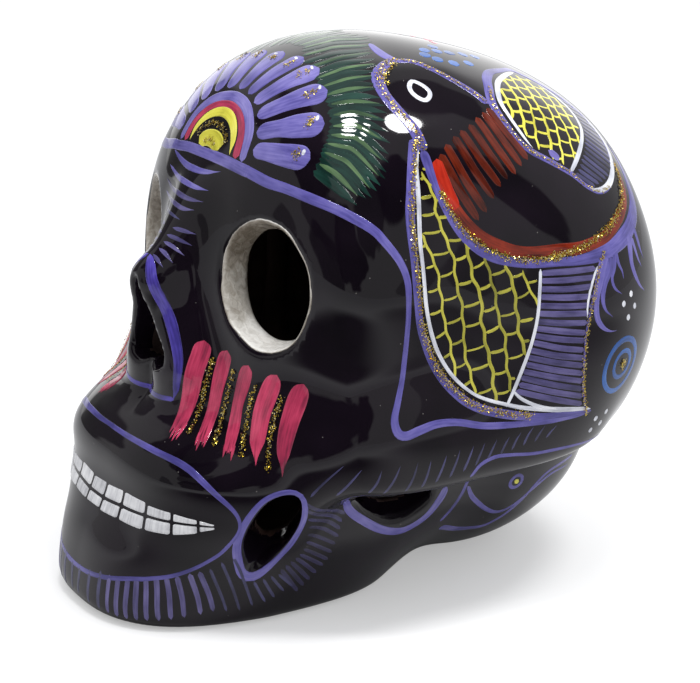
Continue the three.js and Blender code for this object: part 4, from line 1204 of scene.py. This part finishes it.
brow_ticks = [
    ([[-20.5, 46.2, .6], [-12, 45.7, 1.3], [-4, 45.4, 1.6], [3.4, 45.5, 1.4], [11, 46.4, .5]],
     line_purple),
    ([[-19.6, 43.4, .5], [-11, 42.7, 1.1], [-4, 42.3, 1.4], [3.2, 42, 1.2], [9, 42.3, .5]],
     line_purple),
    ([[-19, 40.8, .5], [-11, 40, .9], [-4, 39.6, 1.2], [3, 39.3, 1.1], [8.7, 39.8, .4]],
     wing_purple),
    ([[-17, 38.6, .5], [-7, 37.7, .9], [1.9, 37.1, 1], [6.6, 37.7, .4]], wing_purple),
    ([[-12, 36.2, .5], [-4, 35.3, .8], [3.4, 34.6, .5]], dull_purple)]
for i, (stops, paint) in enumerate(brow_ticks):
    lay(f"brow_tick_{i + 1}", [stroke(stops, start=3, end=5, both=False, thin=.3)], paint)
side_ticks = [[(2.2, 32.4), (5, 32.7), (9, 33.2)], [(1.4, 30.6), (4.4, 30.7), (8.6, 30.6)],
              [(1.6, 29), (4.6, 28.8), (7.6, 28)], [(1.5, 27.3), (3.9, 26.8), (6.2, 25.6)],
              [(1.3, 25.6), (3.2, 24.9), (5.2, 23.8)]]
lay("nose_root_ticks", [stroke(row, (.7, 1, .4), start=2, end=4, thin=.3)
                        for row in side_ticks], wing_purple)
base_lines = [
    stroke([[103.8, -51.7, 2], [119.1, -54.5, 2], [130.7, -52.1, 1.6], [134.1, -47.3, 1.3],
            [135.1, -41.8, 1.2], [136.4, -35.5, 1.1], [140.1, -30.4, 1], [149.5, -26.7, .8]]),
    stroke([[99.5, -47.9, 1.3], [103.2, -43.6, 1.3], [105.8, -39, 1.2], [107.4, -34, 1]]),
    stroke([[107.6, -37.3, 1], [112.8, -41.3, 1.3], [121.3, -44.4, 1.3], [128.9, -45.2, 1.2],
            [133.2, -42.5, 1], [136.5, -36.5, .9], [141, -31.6, .8], [149, -29, .6]]),
    stroke([[86.8, -17.4, .9], [88.9, -14.6, 1], [93.1, -13.2, 1], [98.3, -13.4, .9],
            [104.2, -13.8, .9], [115.7, -13.6, .8], [125.4, -13.8, .6], [134, -14, .4]])]
lay("base_lines", base_lines, line_purple)
lay("base_dot_rings", [circle(DrawingBoard([128.5, -34.7]), 1.9, 1, 8, wobble=.08)], line_purple)
lay("base_dots", [dot(128.5, -34.7, 1.7, proud=.16)], yellow)

# %% [markdown]
# ## Flower on the back
# The photograph doesn't show the back, and a painter wouldn't leave it bare. A plain flower like
# the one on the forehead fills it: petals round a yellow heart, with sprays of leaves between.

# %% Back flower
back_board = DrawingBoard([180, 27])


def ray(angle, rows, **more):
    """A stroke that runs out from the flower's heart, at an angle in degrees from straight up. Rows
    are how far out it is, how far it has strayed to the side and how wide it is, in mm."""
    c, s = np.cos(np.radians(angle)), np.sin(np.radians(angle))
    marks = [[out * s + side * c, out * c - side * s, wide] for out, side, wide in rows]
    return stroke(back_board.to_angles(marks), both=False, **more)


petal_rows = [(7, 0, 3), (9.4, 0, 4.2), (12.4, 0, 5.4), (15.4, 0, 5.2)]
lay("back_petals", [ray(a, petal_rows) for a in range(0, 360, 30)], purple)
lay("back_rings", [circle(back_board, 5.4, 1.7, 14, both=False)], raspberry)
lay("back_hearts", [circle(back_board, 1.2, 2.6, 8, both=False),
                    circle(back_board, 3.2, 1.3, 10, both=False)], yellow)
leaves, lights = [], []
for middle in (90, 270, 180):
    for k in range(-4, 5):
        turned = middle + 9 * k
        reach = 31 - .5 * k * k
        leaves.append(ray(turned, [(18.4, 0, 1.6), (22, .3 * k, 2.1), (reach, .7 * k, 1.3)],
                          start=1.2, end=4, thin=.3, proud=.05))
        lights.append(ray(turned, [(19.2, .4, .4), (23, .4 + .3 * k, .7),
                                   (reach - 1, .4 + .6 * k, .4)], start=3, end=5, thin=.5))
lay("back_leaves", leaves, teal)
lay("back_leaf_lights", lights, leaf)
lay("back_petal_tips", [ray(a, [(16, -.6, 1), (16.3, .8, .9)], proud=.16)
                        for a in range(0, 360, 30)], white)

# %% [markdown]
# ## Eye linings
# Each eye opening is painted white from its rim to the far edge of the wall, with a brush too
# stiff to leave a true edge. The lining is found with a fan of rays: from a point inside the
# clay behind the wall, each ray is followed until it comes out of the clay, so the paint wraps both
# edges however they are cut.

# %% Eye linings
def white_lining_paint():
    """Thick white emulsion, dabbed on with a stiff brush and hardly varnished. Its colour holds
    painted shade and painted light: it turns to a warm grey deeper along the eye's axis, as painted
    shade inside the opening, and is whitest where the wall looks up, as painted top light."""
    material, tree, shader = new_material("white_emulsion")
    place = add(tree, "TexCoord", out="Object")
    dab = noise(tree, place, 1.5 * mm, 4, Distortion=.8)
    cloud = noise(tree, place, 7 * mm, 2)
    x, y, z = add(tree, "SeparateXYZ", {0: place}).node.outputs
    left = add(tree, "CombineXYZ", {"X": calc(tree, "ABSOLUTE", x), "Y": y, "Z": z})
    depth = add(tree, "VectorMath", {0: left, 1: tuple(eye_axis)}, "Value",
                operation="DOT_PRODUCT")
    face = float(eye_centre @ eye_axis) * mm
    # painted shade: the white greys towards the inside of the eye opening
    total = carry(tree, depth, face - 3 * mm, face + 7 * mm, 0, .24, smooth=False)
    up = add(tree, "SeparateXYZ", {0: add(tree, "NewGeometry", out="Normal")}, "Z")
    # painted top light: the wall is whiter where it faces up
    painted_top_light = carry(tree, up, -.3, .9, 0, .42, smooth=False)
    for source, share in ((painted_top_light, 1), (dab, .4), (cloud, .3)):
        total = calc(tree, "MULTIPLY_ADD", source, share, total)
    tint = ramp(tree, total, [(.3, "#6f665a"), (.45, "#968e82"), (.62, "#c6c1b8"), (.8, "#efece6"),
                              (.95, "#f7f6f2")])
    wire(tree, shader, {"Base Color": tint, "Normal": bump(tree, dab, .8, .4 * mm),
                        "Roughness": .22})
    return material


emulsion = white_lining_paint()


def eye_lining(side, name, node):
    """A closed coat of paint: a fan of places round the wall's section for every step round the
    eye, from the rim to the inner edge, then back again inside the clay."""
    turns, fans, behind = 176, 25, 2.6
    phi = np.arange(turns) * 2 * np.pi / turns
    spoke = np.cos(phi)[:, None] * eye_across + np.sin(phi)[:, None] * eye_up
    oval = 1 / np.hypot(np.cos(phi) / eye_wide, np.sin(phi) / eye_tall)

    def at(t):
        """Places in the clay behind the opening's wall, t mm out along the eye's axis."""
        out = eye_growth(t, phi) * oval + behind
        return eye_centre + t[:, None] * eye_axis + out[:, None] * spoke

    reach = walk(at, np.full(turns, 13.0), skull_distance, 40, .7)
    depth = walk(at, reach - 3.0, lambda p: skull_distance(p) + wall, 40, .7)
    middle = (reach + depth) / 2
    core = at(middle)
    ragged = sum(a * np.sin(k * phi + b) for a, k, b in
                 ((.22, 3, 1.2), (.12, 5, .4), (.06, 11, 2.2), (.03, 19, 4)))
    top = np.arctan2(reach - middle, 1.2 + ragged)
    low = np.arctan2(middle - depth, 2.2 + .5 * ragged)
    share = np.linspace(0, 1, fans)
    angle = (top[:, None] * (1 - share) - low[:, None] * share).reshape(-1, 1)
    spread, start = np.repeat(spoke, fans, 0), np.repeat(core, fans, 0)
    toward = eye_axis * np.sin(angle) - spread * np.cos(angle)
    proud = np.tile(np.where(np.minimum(share, 1 - share) < .01, -.05, .13), turns)
    out = walk(lambda r: start + r[:, None] * toward, np.full(len(start), .5),
               lambda p: clay_distance(p) - proud, 16, .85)
    skin = (start + out[:, None] * toward).reshape(turns, fans, 3)
    under = skin[:, ::-6][:, 1:-1]
    under = under + .25 * unit(core[:, None] - under)
    rings = np.concatenate([skin, under], 1)
    points = rings.reshape(-1, 3) * [side, 1, 1]
    faces = facing_out(points, tube_faces(turns, rings.shape[1]))
    thick = (reach - depth).round(1)
    print(name, "wall", thick.min(), "to", thick.max(), "mm")
    return make_mesh(name, points, faces, [emulsion], [node])


eye_lining(1, "white_lining_left", "eye_lining_left")
eye_lining(-1, "white_lining_right", "eye_lining_right")


# %% [markdown]
# ## Teeth
# Two rows of white patches, each tooth one dab of paint squared off at its corners, with black clay
# left between them.

# %% Teeth
tooth_across, tooth_up = 11, 9


def tooth_patch(ends, low, high):
    """A dab of paint between two turns and two heights, which may differ from end to end. Its
    outline is a superellipse, so its corners are round, and its edges sink into the clay."""
    u, v = np.meshgrid(np.linspace(-1, 1, tooth_across), np.linspace(-1, 1, tooth_up),
                       indexing="ij")
    power = 14
    size = (np.abs(u) ** power + np.abs(v) ** power) ** (1 / power)
    square = np.maximum(np.abs(u), np.abs(v))
    f = np.where(size > 0, square / np.maximum(size, 1e-6), 1)
    u, v = u * f, v * f
    turn, bottom, top = (a + (b - a) * (u + 1) / 2 for a, b in (ends, low, high))
    rise = bottom + (top - bottom) * (v + 1) / 2
    proud = np.where(square > .99, -.05, np.where(square > .8, .12, .18))
    return np.column_stack([turn.ravel(), rise.ravel()]), proud.ravel()


def teeth(name, patches, node):
    angles, proud = (np.concatenate(v) for v in zip(*[tooth_patch(*one) for one in patches]))
    points = settle(skull_distance, on_skin(angles), proud, 2)
    net = tube_faces(tooth_across, tooth_up).reshape(tooth_across, tooth_up, 4)[:-1, :-1]
    size = tooth_across * tooth_up
    faces = np.vstack([net.reshape(-1, 4) + k * size for k in range(len(patches))])
    uv = np.column_stack([points[:, 2], points[:, 0]]) * .01
    tone = np.ones((len(points), 4))
    tone[:, 0] = np.repeat(.5 + chance.normal(0, .05, len(patches)), size)
    paint, slot = tooth_white
    return make_mesh(name, points, faces, [paint], [node], uv, tone)


edges = [-30.4, -27.2, -22, -16, -9.2, -2.9, 2.9, 9.2, 16, 22, 27.2, 30.4]
tooth_stops = [0, 9.2, 16, 22, 27.2, 30.4]
top_line = [-20.8, -20.2, -20.4, -21, -22, -23.1]
bite_line = [-22.9, -22.4, -22.4, -22.6, -23, -23.4]
low_line = [-24.4, -24.1, -24.6, -24.8, -24.4, -23.8]
side_gap, bite_gap = .2, .17


def tooth_heights(line, ends):
    return np.interp(np.abs(ends), tooth_stops, line)


upper_teeth, lower_teeth = [], []
for a, b in zip(edges[:-1], edges[1:]):
    ends = np.array([a + side_gap, b - side_gap])
    bite = tooth_heights(bite_line, ends)
    high_jog, low_jog = chance.normal(0, .08, (2, 2))
    upper_teeth.append((ends, bite + bite_gap, tooth_heights(top_line, ends) + high_jog))
    lower_teeth.append((ends, tooth_heights(low_line, ends) + low_jog, bite - bite_gap))
teeth("upper_teeth", upper_teeth, "teeth_upper")
teeth("lower_teeth", lower_teeth, "teeth_lower")


# %% [markdown]
# ## Glitter
# Coarse gold glitter was dusted on wet glue along the bird, in the rosette and between the cheek
# strokes. Every flake is its own small hexagon of foil, tipped at random, so some of them catch a
# lamp from any side.

# %% Glitter
def foil():
    """Metallised film cut into flakes: gold, with a few copper and lemon ones. Each flake's colour
    comes from the tone written on its points."""
    material, tree, shader = new_material("gold_foil_glitter")
    tone = add(tree, "SeparateColor", {"Color": add(tree, "Attribute", attribute_name="tone")})
    tint = ramp(tree, tone, [(0, "#8c6a20"), (.3, "#ccaa3a"), (.7, "#e8cf5c"), (1, "#fff4c4")])
    wire(tree, shader, {"Base Color": tint, "Metallic": 1.0, "Roughness": .28})
    return material


gold = foil()
flake_size = .2, .36


def glitter(name, strokes, density):
    """Flakes scattered along strokes, `density` a square millimetre, each a hexagon in a plane
    tipped up to about 35 degrees from the skin's."""
    step = .6
    _, (width, aside, *_), *frames = frames_of(strokes, step)
    number = chance.poisson(np.maximum(width * step * density, 0))
    width, aside, place, side, normal = (np.repeat(v, number, 0)
                                         for v in (width, aside, *frames))
    count = len(place)
    ahead = np.cross(side, normal)
    across = aside + np.clip(chance.normal(0, .27, count), -.6, .6) * width
    spot = place + across[:, None] * side + chance.uniform(-.3, .3, count)[:, None] * ahead
    spot = settle(skull_distance, spot, .2 + .1 * chance.random(count), 2)
    n = unit(normal + chance.normal(0, .3, (count, 3)))
    a = unit(np.cross(n, side))
    b = np.cross(n, a)
    radius = chance.uniform(*flake_size, count) / 2
    turns = chance.random(count)[:, None] * np.pi + np.arange(6) * np.pi / 3
    ring = np.cos(turns)[..., None] * a[:, None] + np.sin(turns)[..., None] * b[:, None]
    points = (spot[:, None] + ring * radius[:, None, None]).reshape(-1, 3)
    tone = np.ones((len(points), 4))
    tone[:, 0] = np.repeat(chance.random(count), 6)
    faces = np.arange(count * 6).reshape(-1, 6)
    faces = np.vstack([faces, faces[:, ::-1] + len(points)])
    piece = make_mesh(name, np.vstack([points, points * [-1, 1, 1]]), faces, [gold],
                      [], tone=np.vstack([tone, tone]))
    piece.data.polygons.foreach_set("use_smooth", np.zeros(len(piece.data.polygons), bool))
    print(name, 2 * count, "flakes")
    return piece


def trail(stops, wide, aside=0.):
    """A trail of glitter along a stroke's stops, with a width of its own."""
    return stroke(np.array(stops, float)[:, :2], wide, aside=aside)


glitter("bird_glitter", [trail(bird_head, 1.8), trail(bird_back[2:], 1),
                         trail(bird_head[:4], 1.6, 1.3), trail(upper_wing[3:10], 1),
                         trail(upper_wing[9:13], .9)], 7)
glitter("belly_glitter", [trail(belly_red[1:7], 1.7, -1.7),
                          trail([[106, 29.6], [113, 29.1], [118, 29.6], [124, 30.2], [130, 31.7],
                                 [136, 33.8], [142.5, 38.6]], 1.8)], 14)
glitter("wing_glitter", [trail(lower_wing[:6], 1.5, .4), trail(lower_wing[5:12], 1.7, .3),
                         trail(wing_edge, 1.1)], 10)
glitter("rosette_glitter", [*(trail(stops, 2.8) for stops in along_petals(6.4, 3.4)),
                            trail(arc(6.9, 20, [1] * 7, 6.1), 1.6),
                            trail(arc(3, 30, [1] * 5, 2), 2)], 4.5)
glitter("cheek_glitter", [trail((a[1:] + b[1:]) / 2, 1.35)
                          for a, b in zip(cheek_strokes[:-1], cheek_strokes[1:])], 9)
glitter("ring_glitter", [trail([[125.2, 3.2], [126.8, 3.6]], 2.8)], 14)

# %% [markdown]
# ## Coil inside the seam
# A potter joins two pressed halves with slip and smears a coil of soft clay over the joint on the
# inside. It can be seen only through the openings.

# %% Seam coil
def seam_coil():
    """A flat ring under the shell's inner skin. For each angle round, a ray in the seam's plane is
    walked out to the inner skin, and the coil's section hangs from there, dented by fingertips."""
    turns = 144
    a = np.arange(turns) * 2 * np.pi / turns
    toward = np.stack([np.sin(a), np.zeros(turns), np.cos(a)], 1)
    shape = np.array([(-4, .4), (-3.4, 1.3), (-1.6, 2.2), (1.6, 2.2), (3.4, 1.3), (4, .4), (2, .1),
                      (-2, .1)])
    dent = 1 + .22 * np.sin(17 * a) + .1 * np.sin(31 * a + 1)
    rings = []
    for across, deep in shape:
        middle = heart * [1, 0, 1] + [0, seam_y + across, 0]
        reach = walk(lambda r: middle + toward * r[:, None], np.full(turns, 20.0),
                     lambda p: np.clip(skull_distance(p) + wall, -3, 3), 60, .7)
        thick = deep * (dent if deep > 1 else 1)
        rings.append(middle + toward * (reach - .3 - thick)[:, None])
    points = np.stack(rings, 1).reshape(-1, 3)
    faces = facing_out(points, tube_faces(turns, len(shape)))
    return make_mesh("pressed_coil", points, faces, [clay_bare], ["seam_coil"])


seam_coil()


# %% [markdown]
# ## Camera, tent and floor
# The photograph is taken from the skull's left front, a little above it, with the skull in a white
# light tent. A black mirror shows whatever stands round it, so the tent matters as much as the
# varnish: its walls give the soft grey sheen, the gaps in it the dark patches, and two small lamps
# the hard white spots on the crown.

# %% Camera
turn, rise, roll = 56.34, 16.55, np.radians(2.85)
aim, away = np.array([0, -.84, 54.27]), 450
# the lens and the photograph's width in pixels, and the sensor's width in mm
lens_pixels, photo_pixels, sensor = 1855, 700, 36
back = direction_of(turn, rise)
eye_at = aim + away * back
right = unit(np.cross(-back, [0, 0, 1]))
up = np.cross(right, -back)
right, up = right * np.cos(roll) + up * np.sin(roll), up * np.cos(roll) - right * np.sin(roll)
camera_data = bpy.data.cameras.new("camera")
camera_data.sensor_width, camera_data.lens = sensor, sensor * lens_pixels / photo_pixels
camera_data.clip_start = .01
camera = bpy.data.objects.new("camera", camera_data)
bpy.context.scene.collection.objects.link(camera)
placed = np.eye(4)
placed[:3, 0], placed[:3, 1], placed[:3, 2], placed[:3, 3] = right, up, back, eye_at * mm
camera.matrix_world = Matrix(placed)
bpy.context.scene.camera = camera
bpy.context.scene.view_settings.view_transform = "Standard"
print("camera at", eye_at.round(1), "mm, lens", round(camera_data.lens, 1), "mm")


# %% The light tent, as a world
def ray_is(tree, *kinds):
    """One where a ray is of any of these kinds, nought where it isn't."""
    outputs = add(tree, "LightPath").node.outputs
    found, *others = (outputs[f"Is {kind} Ray"] for kind in kinds)
    for other in others:
        found = calc(tree, "MAXIMUM", found, other)
    return found


def light_tent():
    """A plain soft tent lights the skull, brighter overhead. The camera, glass and anything
    glossy see the tent's walls as white instead, and the glossy ones also see the dark gaps
    between its sheets. A gap is a spot round one direction, pushed out of round by noise, and
    the walls are multiplied by what each gap leaves."""
    world = bpy.data.worlds.new("light_tent")
    bpy.context.scene.world = world
    world.use_nodes = True
    tree = world.node_tree
    tree.nodes.clear()
    half = (.5, .5, .5)
    toward = add(tree, "TexCoord", out="Generated")
    fold = add(tree, "TexNoise", {"Vector": toward, "Scale": 2.6, "Detail": 2.5}, "Color")
    shift = add(tree, "VectorMath", {0: fold, 1: half}, operation="SUBTRACT")
    pushed = add(tree, "VectorMath", {0: shift, 1: half, 2: toward}, operation="MULTIPLY_ADD")

    def spot(azimuth, elevation, near, far, inside, outside):
        """Steps from one value inside a spot to another outside it; near and far in degrees."""
        apart = away_from(tree, pushed, tuple(direction_of(azimuth, elevation)))
        return carry(tree, apart, np.radians(near), np.radians(far), inside, outside)

    # azimuth and elevation of each gap, how wide it is in degrees, and how dark
    gaps = [(-45, 50, 14, .9), (-12, 52, 17, .9), (20, 24, 14, .7), (46, 21, 17, .95),
            (22, 3, 14, .85), (6, 41, 12, .95), (101, 43, 14, .97), (75, 37, 13, .85),
            (129, 37, 12, .85), (-72, 12, 19, .75), (178, 58, 11, .7), (114, 4, 9, .5),
            (-8, 3, 8, .6)]
    light = spot(-124, 16, 24, 43, 1.6, .52)
    for azimuth, elevation, wide, dark in gaps:
        left = spot(azimuth, elevation, wide * .93, wide * 1.08, 1 - dark, 1)
        light = calc(tree, "MULTIPLY", light, left)
    level = add(tree, "Mix", {"Factor": ray_is(tree, "Glossy"), 2: 1, 3: light})
    white = add(tree, "Background", {"Strength": level, "Color": (1, 1, 1, 1)})
    top = carry(tree, add(tree, "SeparateXYZ", {0: toward}, "Z"), .2, .9, .5, 1.35)
    tent = add(tree, "Background", {"Strength": top, "Color": linear("#fbfcff")})
    clear = ray_is(tree, "Camera", "Transmission", "Glossy")
    mixed = add(tree, "MixShader", {0: clear, 1: tent, 2: white})
    wire(tree, tree.nodes.new("ShaderNodeOutputWorld"), {"Surface": mixed})
    return world


light_tent()


def lamp(name, azimuth, elevation, distance, wide, tall, watts):
    """A small round or oval lamp that faces the heart of the skull."""
    data = bpy.data.lights.new(name, "AREA")
    data.shape, data.size, data.size_y, data.energy = "ELLIPSE", wide, tall, watts
    toward = direction_of(azimuth, elevation)
    piece = bpy.data.objects.new(name, data)
    bpy.context.scene.collection.objects.link(piece)
    side = unit(np.cross([0, 1, 0], toward))
    spot = np.eye(4)
    spot[:3, 0], spot[:3, 1], spot[:3, 2] = side, np.cross(toward, side), toward
    spot[:3, 3] = heart * mm + toward * distance
    piece.matrix_world = Matrix(spot)
    return piece


lamps = [lamp("lamp_front", 47, 74, .6, .09, .1, 1.1),
         lamp("lamp_side", 80, 71.5, .6, .04, .05, .2),
         lamp("lamp_rear", 130, 65.5, .6, .13, .13, 1.5)]
print("lamps:", [one.name for one in lamps])


# %% Floor
def pale_floor():
    """A wide sheet of pale card, which keeps the skull's shadow. It lies a hair under the foot, so
    that the two faces don't coincide. The camera and glass see it lifted to white, and anything
    glossy sees the card as it is, with two darker patches where the room behind the camera keeps
    the light off."""
    mesh = bpy.data.meshes.new("floor")
    low, reach = -.00005, 4
    corners = [(-reach, -reach, low), (reach, -reach, low), (reach, reach, low),
               (-reach, reach, low)]
    mesh.from_pydata(corners, [], [(0, 1, 2, 3)])
    floor = bpy.data.objects.new("floor", mesh)
    bpy.context.scene.collection.objects.link(floor)
    material, tree, shader = new_material("pale_card")
    place = add(tree, "TexCoord", out="Object")
    shade = 1
    for x, y, radius, dark in ((.13, -.16, .12, .93), (.33, .18, .24, .68)):
        apart = away_from(tree, place, (x, y, 0))
        patch = carry(tree, apart, radius * .4, radius * 1.5, 1 - dark, 1)
        shade = calc(tree, "MULTIPLY", patch, shade)
    card = add(tree, "Mix", {"Factor": ray_is(tree, "Glossy"), 2: 1, 3: shade})
    pale = add(tree, "VectorMath", {0: linear("#cdcdcd")[:3], "Scale": card}, operation="SCALE")
    wire(tree, shader, {"Base Color": pale, "Roughness": .9, "Specular IOR Level": 0})
    seen = ray_is(tree, "Camera", "Transmission")
    lift = add(tree, "Emission", {"Strength": seen, "Color": (.38, .38, .38, 1)})
    both = add(tree, "AddShader", {0: shader.outputs[0], 1: lift})
    wire(tree, tree.nodes["Material Output"], {"Surface": both})
    mesh.materials.append(material)
    return floor


pale_floor()
